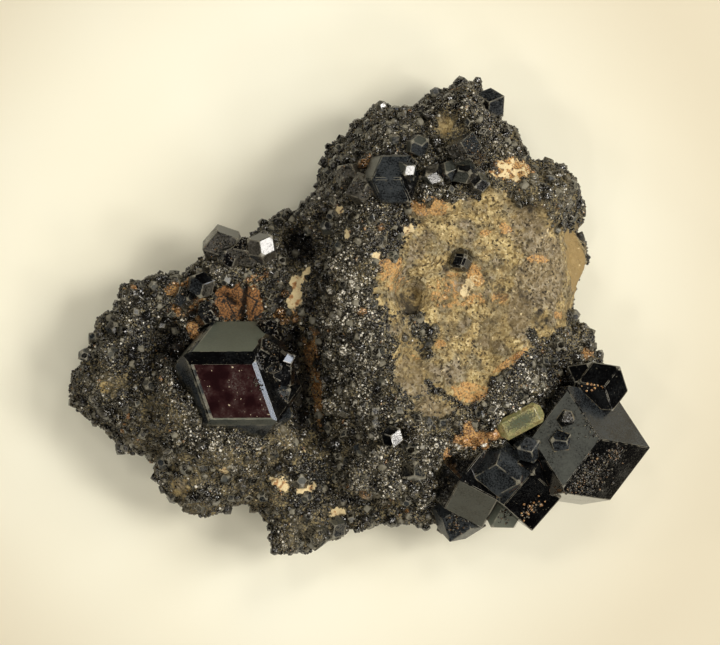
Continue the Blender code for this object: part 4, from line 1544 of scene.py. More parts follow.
@dataclass(frozen=True)
class GrainShape:
    """A closed solid whose faces are 1 from its centre: corners and faces of four corners."""

    corners: np.ndarray
    faces: np.ndarray

    @staticmethod
    def from_normals(
        corners: Sequence[Sequence[float]], normals: Sequence[Vector]
    ) -> "GrainShape":
        """Finds the four corners of each face.

        Args:
            corners: The solid's corners.
            normals: The unit directions of its faces, each 1 from the centre.

        Returns:
            The shape.
        """
        points = [Vector(c) for c in corners]
        faces = []
        for normal in normals:
            near = [k for k, c in enumerate(points) if abs(c.dot(normal) - 1) < 0.01]
            middle = sum((points[k] for k in near), Vector()) / len(near)
            start = (points[near[0]] - middle).normalized()
            side = normal.cross(start)
            near.sort(
                key=lambda k: math.atan2(
                    (points[k] - middle).dot(side), (points[k] - middle).dot(start)
                )
            )
            faces.append(near)
        return GrainShape(np.array(points), np.array(faces))

    @staticmethod
    def dodecahedron() -> "GrainShape":
        """A garnet's rhombic dodecahedron.

        Returns:
            The shape, with its faces 1 from its middle.
        """
        root = 1 / math.sqrt(2)
        corners = [[v * root for v in c] for c in itertools.product((1, -1), repeat=3)]
        for axis in range(3):
            for sign in (2 * root, -2 * root):
                corners.append([sign if k == axis else 0.0 for k in range(3)])
        return GrainShape.from_normals(corners, RHOMBIC_NORMALS)

    @staticmethod
    def block() -> "GrainShape":
        """Six faces, for grains whose own faces are too fine to tell apart."""
        corners = list(itertools.product((1, -1), repeat=3))
        return GrainShape.from_normals(corners, signed_permutations((1, 0, 0)))


@dataclass(frozen=True)
class GrainKind:
    """One size of grain: how closely it is set and how large it grows, in mm, and the lightest
    tint it takes."""

    shape: GrainShape
    spacing: float
    smallest: float
    spread: float
    filled: float
    on_back: float
    lightest: float


@dataclass(frozen=True)
class FaceCrust:
    """Small grains that grew on one face of a large garnet, in an ellipse seen from above."""

    group: str
    crystal: int
    towards: tuple[float, float, float]
    x: float
    y: float
    across: float
    along: float
    turn: float
    count: int
    size: tuple[float, float] = (0.08, 0.2)
    rust: float = 0.35
    lightest: float = 0.65

    def grains(
        self, garnets: Sequence[GarnetGroup], rng: np.random.Generator
    ) -> tuple[np.ndarray, np.ndarray, np.ndarray, dict[str, np.ndarray]]:
        """Spreads the grains on the face.

        Args:
            garnets: The placed garnet groups.
            rng: The seeded random source.

        Returns:
            Their centres and directions, their sizes in mm, and their looks.
        """
        group = next(g for g in garnets if g.name == self.group)
        crystal = group.placed[self.crystal]
        towards = Vector(self.towards).normalized()
        normal, reach = max(crystal.sides(), key=lambda side: side[0].dot(towards))
        u = rng.normal(0, self.across / 2, self.count)
        v = rng.normal(0, self.along / 2, self.count)
        along, side = compass(self.turn), compass(self.turn + 90)
        x = self.x + u * along.x + v * side.x
        y = self.y + u * along.y + v * side.y
        level = (x - crystal.x) * normal.x + (y - crystal.y) * normal.y
        z = crystal.z + (reach - level) / normal.z
        centres = np.stack([x, y, z], axis=1)
        inside = outside_distance(crystal, centres) < 0.05
        for other in (c for g in garnets for c in g.placed if c is not crystal):
            inside &= outside_distance(other, centres) > 0
        centres = centres[inside]
        number = len(centres)
        size = rng.uniform(*self.size, number)
        values = {
            "tint": rng.random(number) * self.lightest,
            "dust": rng.random(number) * 0.5,
            "rust": rng.random(number) * self.rust * 1.6,
        }
        return centres, np.tile(np.array(normal), (number, 1)), size, values


@dataclass
class DruseCrust:
    """The crust of garnets of 0.2 to 3 mm all over the plate, in four joined pieces."""

    seed: int = 5
    sunk: float = 0.25
    etched: float = 0.35
    overgrown: float = 9.0
    # The share of the finest grains painted near-white as glints.
    painted_glints: float = 0.022
    patch_size: float = 6.0
    cloud_size: float = 9.0
    spot_size: float = 2.4
    # Grains that look further down than this are the back's, and fewer lie at the foot.
    back_from: float = -0.25
    foot_height: float = 2.5
    foot_share: float = 0.4
    borders: tuple[float, float] = (-15.2, 8.2)
    kinds: tuple[GrainKind, ...] = (
        GrainKind(GrainShape.block(), 0.5, 0.09, 0.13, 0.95, 0.12, 0.56),
        GrainKind(GrainShape.dodecahedron(), 1.1, 0.2, 0.24, 0.6, 0.12, 0.48),
        GrainKind(GrainShape.dodecahedron(), 2.3, 0.42, 0.6, 0.6, 0.1, 0.38),
    )

    def spots(
        self, plate: SkarnPlate, spacing: float, rng: np.random.Generator
    ) -> tuple[np.ndarray, np.ndarray]:
        """Evenly spread places on the rock.

        Args:
            plate: The rock.
            spacing: About how far apart they are, in mm.
            rng: The seeded random source.

        Returns:
            Rows of places in mm and of the rock's directions there.
        """
        mesh = plate.mesh
        mesh.calc_loop_triangles()
        corners = places_of(mesh)
        flat = np.empty(len(mesh.loop_triangles) * 3, np.int32)
        mesh.loop_triangles.foreach_get("vertices", flat)
        triangles = flat.reshape(-1, 3)
        a, b, c = (corners[triangles[:, k]] for k in range(3))
        cross = np.cross(b - a, c - a)
        area = np.linalg.norm(cross, axis=1) / 2
        count = int(area.sum() / spacing**2 * 3)
        chosen = rng.choice(len(area), count, p=area / area.sum())
        u, v = rng.random(count), rng.random(count)
        flip = u + v > 1
        u[flip], v[flip] = 1 - u[flip], 1 - v[flip]
        places = a[chosen] + (b - a)[chosen] * u[:, None] + (c - a)[chosen] * v[:, None]
        normals = cross[chosen] / (2 * area[chosen, None] + 1e-12)
        cells = np.floor(places / spacing).astype(int)
        _, first = np.unique(cells, axis=0, return_index=True)
        first.sort()
        return places[first], normals[first]

    def chance(
        self, kind: GrainKind, places: np.ndarray, normals: np.ndarray,
        shares: dict[Ground, np.ndarray],
    ) -> np.ndarray:
        """How likely each place is to carry a grain of this kind.

        Args:
            kind: The kind of grain.
            places: Rows of places in mm.
            normals: The rock's directions there.
            shares: The grounds there.

        Returns:
            A chance from 0 to 1 for each place.
        """
        empty = np.maximum(shares[Ground.CLAY], shares[Ground.CREAM])
        bare = shares[Ground.BARE]
        chance = kind.filled * (1 - bare) ** 2 * (1 - empty) ** 2
        chance = chance * (1 - 0.6 * shares[Ground.RUST]) * (1 - 0.45 * shares[Ground.SILT])
        chance = np.where(normals[:, 2] < self.back_from, kind.on_back, chance)
        chance = np.where(places[:, 2] < self.foot_height, chance * self.foot_share, chance)
        # The largest grains stay far enough up not to reach the floor.
        lowest = max(0.9, 1.7 * (kind.smallest + kind.spread))
        return np.where(places[:, 2] < lowest, 0, chance)

    def build(self, plate: SkarnPlate, garnets: Sequence[GarnetGroup]) -> None:
        """Makes and dresses the crust.

        Args:
            plate: The rock that it grew on.
            garnets: The large garnets, which stay clear of it.
        """
        rng = np.random.default_rng(self.seed)
        heaps: dict[DrusePart, list] = {part: [] for part in DrusePart}
        for kind in self.kinds:
            places, normals = self.spots(plate, kind.spacing, rng)
            shares = plate.grounds.shares(places)
            keep = rng.random(len(places)) < self.chance(kind, places, normals, shares)
            for crystal in (c for group in garnets for c in group.placed):
                keep &= outside_distance(crystal, places) > 0.02
            places, normals = places[keep], normals[keep]
            shares = {ground: share[keep] for ground, share in shares.items()}
            patchy = slow_noise(places, self.patch_size)
            size = kind.smallest + kind.spread * rng.random(len(places)) ** 2
            size *= 1 + 0.4 * patchy
            depths = plate.grounds.depth(places)
            values = self.looks(kind, places, shares, depths, patchy, rng)
            centres = places + normals * (size * self.sunk)[:, None]
            self.add_grains(heaps, kind.shape, centres, normals, size, values, rng)
        for crust in FACE_CRUSTS + self.overgrowth(garnets):
            centres, normals, size, values = crust.grains(garnets, rng)
            self.add_grains(heaps, GrainShape.block(), centres, normals, size, values, rng)
        finishes = [
            MelaniteDruse("melanite druse, glassy faces", 0.0, 0.07).material(),
            MelaniteDruse("melanite druse, etched faces", 0.12, 0.3).material(),
        ]
        for part, heap in heaps.items():
            self.join(part, heap, finishes, rng)

    def overgrowth(self, garnets: Sequence[GarnetGroup]) -> list[FaceCrust]:
        """The grains on the upper faces of the overgrown crystals.

        Args:
            garnets: The placed garnet groups.

        Returns:
            One crust for each upper face.
        """
        found = []
        for group in garnets:
            for number in OVERGROWN.get(group.name, ()):
                crystal = group.placed[number]
                for normal, reach in crystal.planes()[:3]:
                    x, y = crystal.x + normal.x * reach, crystal.y + normal.y * reach
                    across = 0.9 * crystal.reach
                    count = int(self.overgrown * crystal.reach**2)
                    found.append(
                        FaceCrust(
                            group.name, number, tuple(normal), x, y, across, across, 0, count,
                            (0.07, 0.17), 0.28, 0.6,
                        )
                    )
        return found

    def looks(
        self, kind: GrainKind, places: np.ndarray, shares: dict[Ground, np.ndarray],
        depths: np.ndarray, patchy: np.ndarray, rng: np.random.Generator,
    ) -> dict[str, np.ndarray]:
        """The tint, dust and rust of each grain; the tint also carries painted shade and glints.

        Args:
            kind: The kind of grain.
            places: The grains' places in mm.
            shares: The grounds there.
            depths: How far each lies below the rock's mean height, in mm.
            patchy: Slow noise there.
            rng: The seeded random source.

        Returns:
            The three values by name.
        """
        count = len(places)
        clouds = slow_noise(places, self.cloud_size, (0, 0, 40))
        spots = slow_noise(places, self.spot_size, (40, 0, 0))
        frost, shade = shares[Ground.GLINTING_FROST], shares[Ground.SHADE]
        dust = 0.05 + 0.5 * shares[Ground.SILT] + 0.35 * clouds + 0.5 * (rng.random(count) - 0.5)
        # Painted shade: grains in the shade patches lose their dust and turn darker.
        dust += 0.35 * spots - 1.2 * shade
        west = np.clip((-places[:, 0] - 12) / 18, 0, 1)
        rust = 0.1 + 0.9 * shares[Ground.RUST] + 0.3 * west * patchy
        rust += 0.4 * (rng.random(count) < 0.02)
        # Painted shade: grains darker in shade patches and in hollows, lighter on crests.
        tint = 0.12 + kind.lightest * rng.random(count) + 0.26 * frost - 0.6 * shade
        tint += 0.1 * clouds + 0.36 * spots - 0.1 * np.clip(depths, -1.5, 1.5)
        # Painted glints: some of the finest grains get full tint and show near-white.
        painted_glint_share = self.painted_glints * (1 + 2.2 * frost) * (1 - shade) if kind.spacing < 1 else 0.002
        painted_glints = rng.random(count) < painted_glint_share
        tint = np.where(painted_glints, 1.4, np.clip(tint, 0, 0.85))
        return {"tint": tint, "dust": np.where(painted_glints, 0, dust), "rust": np.where(painted_glints, 0, rust)}

    def add_grains(
        self, heaps: dict[DrusePart, list], shape: GrainShape, centres: np.ndarray,
        normals: np.ndarray, size: np.ndarray, values: dict[str, np.ndarray],
        rng: np.random.Generator,
    ) -> None:
        """Turns each grain its own way and sorts them to their pieces.

        Args:
            heaps: The corners, faces and values gathered for each piece.
            shape: The grains' shape.
            centres: Their centres in mm.
            normals: The rock's directions there.
            size: Their reach in mm.
            values: What each grain's points store.
            rng: The seeded random source.
        """
        quaternions = rng.normal(size=(len(centres), 4))
        quaternions /= np.linalg.norm(quaternions, axis=1, keepdims=True)
        w, x, y, z = quaternions.T
        turns = np.stack(
            [
                1 - 2 * (y * y + z * z), 2 * (x * y - z * w), 2 * (x * z + y * w),
                2 * (x * y + z * w), 1 - 2 * (x * x + z * z), 2 * (y * z - x * w),
                2 * (x * z - y * w), 2 * (y * z + x * w), 1 - 2 * (x * x + y * y),
            ],
            axis=1,
        ).reshape(-1, 3, 3)
        stretch = rng.uniform(0.8, 1.25, size=(len(centres), 3))
        west, east = self.borders
        back = normals[:, 2] < self.back_from
        where = {
            DrusePart.WEST: ~back & (centres[:, 0] < west),
            DrusePart.MIDDLE: ~back & (centres[:, 0] >= west) & (centres[:, 0] < east),
            DrusePart.EAST: ~back & (centres[:, 0] >= east),
            DrusePart.BACK: back,
        }
        for part, chosen in where.items():
            grown = shape.corners[None] * stretch[chosen][:, None, :]
            corners = np.einsum("nij,nkj->nki", turns[chosen], grown)
            corners = corners * size[chosen][:, None, None] + centres[chosen][:, None, :]
            each = len(shape.corners)
            rows = shape.faces[None] + (np.arange(int(chosen.sum())) * each)[:, None, None]
            stored = {name: np.repeat(value[chosen], each) for name, value in values.items()}
            heaps[part].append((corners.reshape(-1, 3), rows.reshape(-1, 4), stored))

    def join(
        self, part: DrusePart, heap: list, finishes: Sequence[bpy.types.Material],
        rng: np.random.Generator,
    ) -> None:
        """Makes one piece of the grains gathered for it.

        Args:
            part: The piece.
            heap: Corners, faces and values of each kind of grain.
            finishes: The druse's materials, glassy and etched.
            rng: The seeded random source.
        """
        offsets = np.cumsum([0] + [len(corners) for corners, _, _ in heap])
        corners = np.concatenate([corners for corners, _, _ in heap])
        rows = np.concatenate([rows + start for (_, rows, _), start in zip(heap, offsets)])
        mesh = bpy.data.meshes.new(part.value)
        mesh.vertices.add(len(corners))
        mesh.loops.add(rows.size)
        mesh.polygons.add(len(rows))
        mesh.vertices.foreach_set("co", (corners * MM).astype(np.float32).ravel())
        mesh.loops.foreach_set("vertex_index", rows.astype(np.int32).ravel())
        mesh.polygons.foreach_set("loop_start", np.arange(0, rows.size, 4, dtype=np.int32))
        mesh.update(calc_edges=True)
        for name in heap[0][2]:
            keep_values(mesh, name, np.concatenate([stored[name] for _, _, stored in heap]))
        etched = (rng.random(len(rows)) < self.etched).astype(np.int32)
        mesh.polygons.foreach_set("material_index", etched)
        dress(link(part.value, mesh), finishes)


# ---------------------------------------------------------------- small garnets of the rock


@dataclass
class SmallGarnets:
    """Garnets of 1 to 6 mm fused to the rock, sharp-edged, as one joined piece."""

    seed: int = 23
    count: int = 260
    reach: tuple[float, float] = (0.55, 1.3)
    depth: float = 0.25
    clear: float = 1.2
    finest: float = 1.1
    known: tuple[Crystal, ...] = (
        Crystal(3.6, -26.6, None, 1.95, 10, 25, 30),
        Crystal(11.2, -29.6, None, 2.35, 50, 30, 200),
        Crystal(13.4, -34.4, None, 2.95, 80, 35, 260),
        Crystal(6.6, -32.6, None, 2.65, 35, 40, 270),
        Crystal(15.6, -25.4, None, 2.15, 65, 20, 90),
        Crystal(1.2, -31.6, None, 2.25, 25, 30, 210),
        Crystal(-13.6, -44.2, None, 2.75, 25, 30, 250),
        Crystal(-8.2, -43.6, None, 2.45, 75, 25, 300),
        Crystal(-4.4, -42.2, None, 2.15, 45, 30, 330),
        Crystal(-48.4, -2.2, None, 1.5, 15, 35, 140),
        Crystal(-44.8, 4.4, None, 2.35, 60, 35, 120),
        Crystal(-8.0, 21.0, None, 2.25, 40, 25, 120),
        Crystal(13.6, 23.4, None, 1.95, 70, 20, 40),
        Crystal(44.4, -4.0, None, 2.45, 20, 35, 30),
        # These catch a lamp.
        Crystal(-35.7, -23.1, None, 0.75, 20, 22, -48),
        Crystal(-16.5, -22.9, None, 0.6, 60, 22, -48),
        Crystal(13.9, 27.3, None, 0.7, 20, 16, 62),
        Crystal(-3.0, -14.6, None, 0.9, 30, 22, -48),
        Crystal(-35.8, -14.6, None, 0.6, 50, 16, 62),
        Crystal(-1.0, -6.4, None, 1.0, 70, 24, -48),
    )

    def scattered(self, plate: SkarnPlate, garnets: Sequence[GarnetGroup]) -> list[Crystal]:
        """Further crystals at random on the crust, clear of the large ones.

        Args:
            plate: The rock.
            garnets: The large garnets.

        Returns:
            The crystals, without heights.
        """
        rng = np.random.default_rng(self.seed)
        places = places_of(plate.mesh)
        normals = normals_of(plate.mesh)
        upper = np.nonzero((normals[:, 2] > 0.35) & (places[:, 2] > 9))[0]
        chosen = rng.choice(upper, self.count * 6, replace=False)
        shares = plate.grounds.shares(places[chosen])
        busy = np.maximum(shares[Ground.CLAY], shares[Ground.CREAM])
        busy = np.maximum(shares[Ground.BARE], busy)
        taken = [(c.x, c.y, c.reach * 1.25) for g in garnets for c in g.placed]
        taken += [(c.x, c.y, c.reach) for c in self.known]
        found: list[Crystal] = []
        for row, used in zip(chosen, busy):
            x, y = places[row][:2]
            reach = rng.uniform(*self.reach) * (0.8 + 0.4 * rng.random())
            turn, lean, towards = rng.uniform(0, 180), rng.uniform(5, 40), rng.uniform(0, 360)
            crowded = any(math.hypot(x - a, y - b) < r + reach * 0.8 for a, b, r in taken)
            if used > 0.1 or crowded or len(found) >= self.count:
                continue
            found.append(Crystal(x, y, None, reach, turn, lean, towards, 0.04))
            taken.append((x, y, reach))
        return found

    def build(
        self, plate: SkarnPlate, garnets: Sequence[GarnetGroup],
        finishes: Sequence[bpy.types.Material],
    ) -> None:
        """Makes the crystals and dresses them.

        Args:
            plate: The rock.
            garnets: The large garnets.
            finishes: The materials of the faces.
        """
        rng = np.random.default_rng(self.seed + 1)
        edges = []
        choices = [Face.GLASS] * 3 + [Face.SMOKY] * 4 + [Face.DUSTY, Face.OLIVE]
        whole = bpy.data.meshes.new("small_garnets")
        with edited(whole) as bm:
            for crystal in list(self.known) + self.scattered(plate, garnets):
                ground = plate.height_at(crystal.x, crystal.y, crystal.reach * self.clear)
                stood = replace(crystal, z=ground - self.depth * crystal.reach)
                mesh = with_fine_faces(cut_crystal(stood), self.finest)
                edges.append(edge_distance(stood, places_of(mesh)))
                sides = np.array([normal for normal, _ in stood.planes()])
                picks = rng.integers(len(choices), size=len(sides))
                for face in mesh.polygons:
                    side = int((sides @ np.array(face.normal)).argmax())
                    face.material_index = choices[picks[side]].value
                bm.from_mesh(mesh)
                bpy.data.meshes.remove(mesh)
        keep_values(whole, "edge", np.clip(np.concatenate(edges), 0, EDGE_READ))
        keep_values(whole, "joint", np.full(len(whole.vertices), JOINT_READ))
        keep_values(whole, "seat", np.clip(plate.distance_to(places_of(whole)), 0, SEAT_READ))
        dress(link("small_garnets", whole), finishes)


# ---------------------------------------------------------------- the green prism


@dataclass
class GreenPrism:
    """The pale green prism that lies on the crust."""

    node: str = "green_prism"
    turn: float = 28.0
    half_width: float = 2.2
    half_length: float = 4.8
    rounding: float = 0.12
    finest: float = 0.5

    def build(self) -> None:
        """Copies the CAD solid, softens its edges and marks its cloudy core."""
        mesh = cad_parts[self.node].data.copy()
        with edited(mesh) as bm:
            bmesh.ops.remove_doubles(bm, verts=bm.verts[:], dist=WELD)
            bmesh.ops.dissolve_limit(
                bm, angle_limit=math.radians(1), verts=bm.verts[:], edges=bm.edges[:]
            )
            bmesh.ops.bevel(
                bm, geom=bm.edges[:], offset=self.rounding * MM, segments=2, profile=0.5,
                affect="EDGES",
            )
        mesh = with_fine_faces(mesh, self.finest)
        places = places_of(mesh)
        middle = (places.min(axis=0) + places.max(axis=0)) / 2
        along = np.array(compass(self.turn))
        side = np.array(compass(self.turn + 90))
        u = (places - middle) @ along / self.half_length
        v = (places - middle) @ side / self.half_width
        keep_values(mesh, "core", np.clip(1.3 - 1.25 * np.hypot(u * 0.95, v * 1.15), 0, 1))
        dress(link("diopside_prism", mesh), [CloudyDiopside().material()], [self.node])


# ---------------------------------------------------------------- studio


@dataclass(frozen=True)
class Lamp:
    """A soft box that looks at the plate. Sizes in metres, angles in degrees."""

    name: str
    compass: float
    height: float
    distance: float
    width: float
    depth: float
    radiance: float
    colour: str = "#ffffff"
    mirrored: bool = True

    def build(self) -> None:
        """Hangs the lamp."""
        light = bpy.data.lights.new(self.name, "AREA")
        light.shape = "RECTANGLE"
        light.size, light.size_y = self.width, self.depth
        light.energy = self.radiance * math.pi * self.width * self.depth
        light.color = linear(self.colour)[:3]
        obj = bpy.data.objects.new(self.name, light)
        obj.visible_glossy = self.mirrored
        bpy.context.scene.collection.objects.link(obj)
        level = compass(self.compass) * math.cos(math.radians(self.height))
        place = (level + Vector((0, 0, math.sin(math.radians(self.height))))) * self.distance
        obj.location = place
        obj.rotation_euler = place.to_track_quat("Z", "Y").to_euler()


@dataclass
class Studio:
    """Pale paper, soft boxes low on the right, a dim room and the camera overhead."""

    lamps: tuple[Lamp, ...] = (
        Lamp("main soft box", 6, 53, 1.0, 0.3, 0.3, 14.5, "#fffaf2"),
        Lamp("window right", 19.7, 30, 1.0, 0.2, 0.16, 6.0, "#eaf2ff"),
        Lamp("soft box lower right", -43, 43, 1.1, 0.24, 0.24, 8.0, "#fff8ee"),
        Lamp("soft box upper right", 62, 58, 1.1, 0.18, 0.18, 8.0, "#fffaf2"),
        Lamp("small lamp right", -10, 42, 1.0, 0.1, 0.1, 24.0, "#fffaf2"),
        Lamp("small lamp left", 165, 38, 1.0, 0.1, 0.1, 16.0, "#fffaf2"),
        Lamp("small lamp front", -110, 62, 1.0, 0.08, 0.08, 20.0, "#fffaf2"),
        Lamp("strip right", 18, 40, 1.0, 0.22, 0.07, 12.0, "#fffaf2"),
        Lamp("small lamp upper left", 116, 68, 1.0, 0.1, 0.1, 16.0, "#fffaf2"),
        Lamp("small lamp lower left", -152, 62, 1.0, 0.1, 0.1, 16.0, "#fffaf2"),
        Lamp("small lamp below", -77, 48, 1.0, 0.08, 0.08, 16.0, "#fffaf2"),
        Lamp("fill left", 190, 50, 0.35, 0.2, 0.2, 0.5, "#fffaf0", False),
        Lamp("fill back", 62, 52, 0.35, 0.14, 0.14, 2.2, "#fffaf0", False),
        Lamp("fill front", -105, 52, 0.35, 0.14, 0.14, 1.2, "#fffaf0", False),
    )
    room: float = 0.17
    camera_place: tuple[float, float, float] = (0.0006, -0.0011, 0.616)
    lens: float = 150.0
    floor_size: float = 0.7

    def build(self) -> None:
        """Sets the floor, the lamps, the room's light and the camera."""
        mesh = bpy.data.meshes.new("paper floor")
        with edited(mesh) as bm:
            bmesh.ops.create_grid(bm, x_segments=8, y_segments=8, size=self.floor_size / 2)
        floor = link("paper_floor", mesh)
        mesh.materials.append(CreamPaper().material())
        for lamp in self.lamps:
            lamp.build()
        world = bpy.data.worlds.new("dim room")
        bpy.context.scene.world = world
        world.use_nodes = True
        back = world.node_tree.nodes["Background"]
        back.inputs["Color"].default_value = linear("#fdf6ea")
        back.inputs["Strength"].default_value = self.room
        # The room's light fills the shadows but leaves black mirror faces black.
        world.cycles_visibility.glossy = False
        lens = bpy.data.cameras.new("camera")
        lens.lens, lens.sensor_width, lens.clip_start = self.lens, 36.0, 0.01
        camera = bpy.data.objects.new("camera", lens)
        bpy.context.scene.collection.objects.link(camera)
        camera.location = self.camera_place
        bpy.context.scene.camera = camera
        bpy.context.scene.view_settings.view_transform = "Standard"


# ---------------------------------------------------------------- the garnets of this plate

TOP = (0.0, 0.0, 1.0)
GREAT_UPPER, GREAT_LOWER = (0.0, 0.866, 0.5), (0.0, -0.866, 0.5)
GREAT_LEFT, GREAT_UPPER_LEFT = (-0.815, -0.292, 0.5), (-0.819, 0.574, 0.0)

GARNETS = [
    GarnetGroup(
        "great_garnet_crystals",
        "great_garnet",
        [
            Crystal(-24.9, -14.0, 19.2, 11.6, -35, 0, 0, 0.3, 0.5),
            Crystal(-18.2, -8.4, 26.2, 3.2, 6, 6, 200),
            Crystal(-15.8, -11.6, 23.4, 3.2, -60, 25, 34),
            Crystal(-16.4, -15.4, 24.2, 3.0, 40, 30, 330),
            Crystal(-16.2, -18.8, 24.4, 2.7, 75, 18, 300),
            Crystal(-14.0, -8.4, 24.4, 1.6, 20, 30, 20),
            Crystal(-17.4, -2.6, 21.0, 2.2, 50, 25, 60),
            Crystal(-29.8, 0.6, 20.4, 2.2, -20, 20, 300),
        ],
        (
            EdgeSteps(TOP, GREAT_UPPER, 1.7, ((4.0, 30.0),), (Face.GLASS,)),
            EdgeSteps(
                TOP, GREAT_LEFT, 1.5,
                ((0.3, 5), (0.25, 14), (0.3, 30), (0.35, 47), (0.5, 54)),
                (Face.SMOKY, Face.OLIVE, Face.GLASS, Face.OLIVE, Face.SMOKY),
            ),
            EdgeSteps(
                TOP, GREAT_LOWER, 0.7, ((0.35, 24), (0.35, 46)), (Face.ETCHED, Face.OLIVE)
            ),
            EdgeSteps(
                GREAT_UPPER, GREAT_UPPER_LEFT, 1.7,
                ((0.35, 8), (0.4, 17), (0.35, 25), (0.45, 33), (0.4, 42), (0.5, 51)),
                (Face.SMOKY, Face.OLIVE, Face.GLASS, Face.OLIVE, Face.SMOKY, Face.OLIVE),
            ),
        ),
        (
            FaceRule(0, TOP, Face.RED, 0.9998),
            FaceRule(0, GREAT_UPPER, Face.ETCHED, 0.9998),
            FaceRule(0, GREAT_LEFT, Face.SMOKY, 0.9998),
            FaceRule(0, GREAT_LOWER, Face.SMOKY, 0.9998),
            FaceRule(0, GREAT_UPPER_LEFT, Face.SMOKY, 0.99),
            FaceRule(3, TOP, Face.SMOKY, 0.0),
            FaceRule(4, TOP, Face.SMOKY, 0.0),
        ),
        finest=0.8,
    ),
    GarnetGroup(
        "southeast_garnet_crystals",
        "southeast_garnets",
        [
            Crystal(43.5, -25.7, 18.0, 10.65, 88, 16.6, 145, 0.07, 1.0),
            Crystal(33.5, -31.4, 17.4, 8.06, 95, 41, 282, 0.07),
            Crystal(22.9, -31.5, 16.2, 7.7, -73, 47, 267, 0.09),
            Crystal(29.2, -30.4, 22.4, 4.8, -75, 30, 60),
            Crystal(33.6, -25.8, 26.4, 2.4, 20, 20, 90),
            Crystal(40.2, -24.6, 27.2, 2.6, -40, 24, 250),
            Crystal(41.2, -20.2, 27.0, 2.1, 30, 20, 60),
            Crystal(20.4, -40.0, 13.0, 4.2, 70, 20, 250),
            Crystal(29.4, -38.4, 14.2, 3.8, 30, 30, 290),
            Crystal(48.4, -13.8, 21.4, 4.5, 140, 33, 232, 0.08),
            Crystal(45.0, -12.4, 20.8, 3.2, -30, 30, 120),
        ],
        (),
        (
            FaceRule(0, (-0.234, 0.164, 0.958), Face.OLIVE, 0.95),
            FaceRule(0, (0.6, 0.56, 0.57), Face.SMOKY, 0.97),
            FaceRule(2, (0.0, -0.72, 0.7), Face.OLIVE, 0.97),
            FaceRule(1, (-0.64, 0.0, 0.77), Face.SMOKY, 0.97),
            FaceRule(3, TOP, Face.SMOKY, 0.0),
            FaceRule(4, TOP, Face.SMOKY, 0.0),
            FaceRule(5, TOP, Face.SMOKY, 0.3),
            FaceRule(6, (0.17, 0.3, 0.94), Face.DUSTY, 0.97),
            FaceRule(7, TOP, Face.SMOKY, 0.0),
            FaceRule(8, TOP, Face.ETCHED, 0.3),
        ),
    ),
    GarnetGroup(
        "north_garnet_crystals",
        "north_garnet",
        [
            Crystal(6.7, 26.7, None, 4.7, -35, 30, 270, 0.14),
            Crystal(9.6, 28.2, None, 1.7, 40, 24, 10),
            Crystal(1.2, 24.8, None, 2.7, 20, 30, 180),
            Crystal(-1.6, 27.6, None, 2.3, -30, 25, 110),
        ],
        rules=(
            FaceRule(1, (0.4, 0.07, 0.91), Face.GLASS, 0.98),
            FaceRule(2, TOP, Face.DUSTY, 0.2),
            FaceRule(3, TOP, Face.DUSTY, 0.2),
        ),
        usual=(Face.SMOKY, Face.SMOKY, Face.GLASS, Face.SMOKY, Face.OLIVE),
    ),
    GarnetGroup(
        "row_garnet_crystals",
        "row_garnets",
        [
            Crystal(14.9, 27.6, None, 1.9, -20, 22, 280),
            Crystal(18.2, 28.4, None, 2.0, 60, 28, 90),
            Crystal(21.0, 28.2, None, 2.2, -50, 30, 100),
            Crystal(23.8, 26.0, None, 1.8, 10, 26, 320),
            Crystal(21.4, 32.0, None, 3.1, 80, 30, 60),
        ],
        rules=(
            FaceRule(0, (0.07, -0.37, 0.93), Face.GLASS, 0.98),
            FaceRule(3, (0.34, -0.28, 0.9), Face.GLASS, 0.98),
        ),
        usual=(Face.SMOKY, Face.DUSTY, Face.GLASS, Face.OLIVE),
    ),
    GarnetGroup(
        "small_north_crystal",
        "small_north_garnet",
        [Crystal(11.8, 33.4, None, 1.9, -60, 25, 250)],
        usual=(Face.SMOKY, Face.OLIVE),
    ),
    GarnetGroup(
        "horn_crystal", "horn_garnet", [Crystal(26.4, 42.2, None, 2.9, 55, 30, 330)],
        usual=(Face.SMOKY, Face.GLASS, Face.SMOKY),
    ),
    GarnetGroup(
        "northwest_crystals",
        "northwest_garnets",
        [
            Crystal(-26.6, 13.6, None, 3.8, 15, 15, 120),
            Crystal(-25.2, 11.8, None, 2.0, -75, 20, 250),
            Crystal(-21.8, 12.8, None, 2.8, -40, 30, 230),
            Crystal(-18.8, 13.6, None, 2.6, 62, 26, 20),
        ],
        rules=(FaceRule(3, (0.41, 0.15, 0.9), Face.GLASS, 0.98),),
        usual=(Face.DUSTY, Face.SMOKY, Face.DUSTY, Face.GLASS),
    ),
    GarnetGroup(
        "clay_hollow_crystals",
        "clay_garnets",
        [
            Crystal(-31.0, 6.2, None, 2.4, -70, 22, 200),
            Crystal(-34.6, 3.6, None, 1.9, 10, 22, 200),
        ],
        usual=(Face.SMOKY, Face.GLASS, Face.DUSTY),
    ),
    GarnetGroup(
        "basin_crystal", "basin_garnet", [Crystal(20.4, 11.2, None, 2.1, 30, 20, 200, 0.2)]
    ),
    GarnetGroup("knob_crystal", "knob_garnet", [Crystal(7.0, -23.4, None, 2.0, 72, 24, 350)]),
]


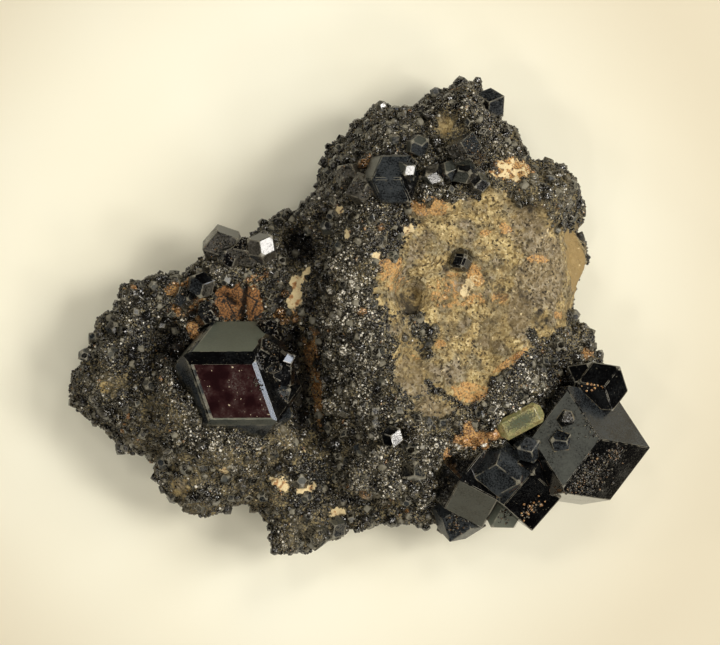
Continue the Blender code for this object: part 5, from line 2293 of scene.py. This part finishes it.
FACE_CRUSTS = [
    FaceCrust(
        "southeast_garnet_crystals", 0, (0.55, -0.4, 0.73), 45.4, -31.2, 5.2, 3.6, 35, 440,
        (0.07, 0.2), 0.3, 0.45,
    ),
    FaceCrust(
        "southeast_garnet_crystals", 0, (0.55, -0.4, 0.73), 50.6, -27.0, 2.4, 1.4, 35, 90,
        (0.07, 0.18),
    ),
    FaceCrust(
        "southeast_garnet_crystals", 1, (0.13, -0.63, 0.76), 34.4, -38.0, 2.8, 1.3, 40, 60,
        (0.08, 0.2), 0.6,
    ),
    FaceCrust(
        "southeast_garnet_crystals", 0, (-0.23, 0.16, 0.96), 46.5, -23.0, 5.0, 2.0, -50, 90,
        (0.06, 0.16), 0.2,
    ),
    FaceCrust("great_garnet_crystals", 0, TOP, -19.4, -13.2, 2.2, 1.2, -30, 30, (0.06, 0.14), 0.1),
    FaceCrust("southeast_garnet_crystals", 9, TOP, 48.4, -12.6, 4.0, 3.0, 0, 60, (0.1, 0.2), 0.7),
    FaceCrust("southeast_garnet_crystals", 7, TOP, 20.0, -40.0, 3.0, 3.0, 0, 120),
    FaceCrust("southeast_garnet_crystals", 8, TOP, 29.4, -39.4, 2.0, 2.0, 0, 40),
]

# Crystals half hidden by the druse that grew over them.
OVERGROWN = {
    "north_garnet_crystals": (2, 3),
    "northwest_crystals": (0, 1, 2),
    "row_garnet_crystals": (4,),
    "clay_hollow_crystals": (1,),
    "great_garnet_crystals": (1, 3, 6, 7),
}


def main() -> None:
    """Builds the plate, its crystals and the studio, in that order."""
    logging.basicConfig(level=logging.INFO, format="%(name)s: %(message)s", stream=sys.stdout)
    for group in GARNETS:
        group.place()
    plate = SkarnPlate()
    plate.shape()
    plate.close_sockets(GARNETS)
    plate.build()
    DruseCrust().build(plate, GARNETS)
    finishes = face_finishes()
    for group in GARNETS:
        group.build(plate, finishes)
    SmallGarnets().build(plate, GARNETS, finishes)
    GreenPrism().build()
    Studio().build()


if __name__ == "__main__":
    main()
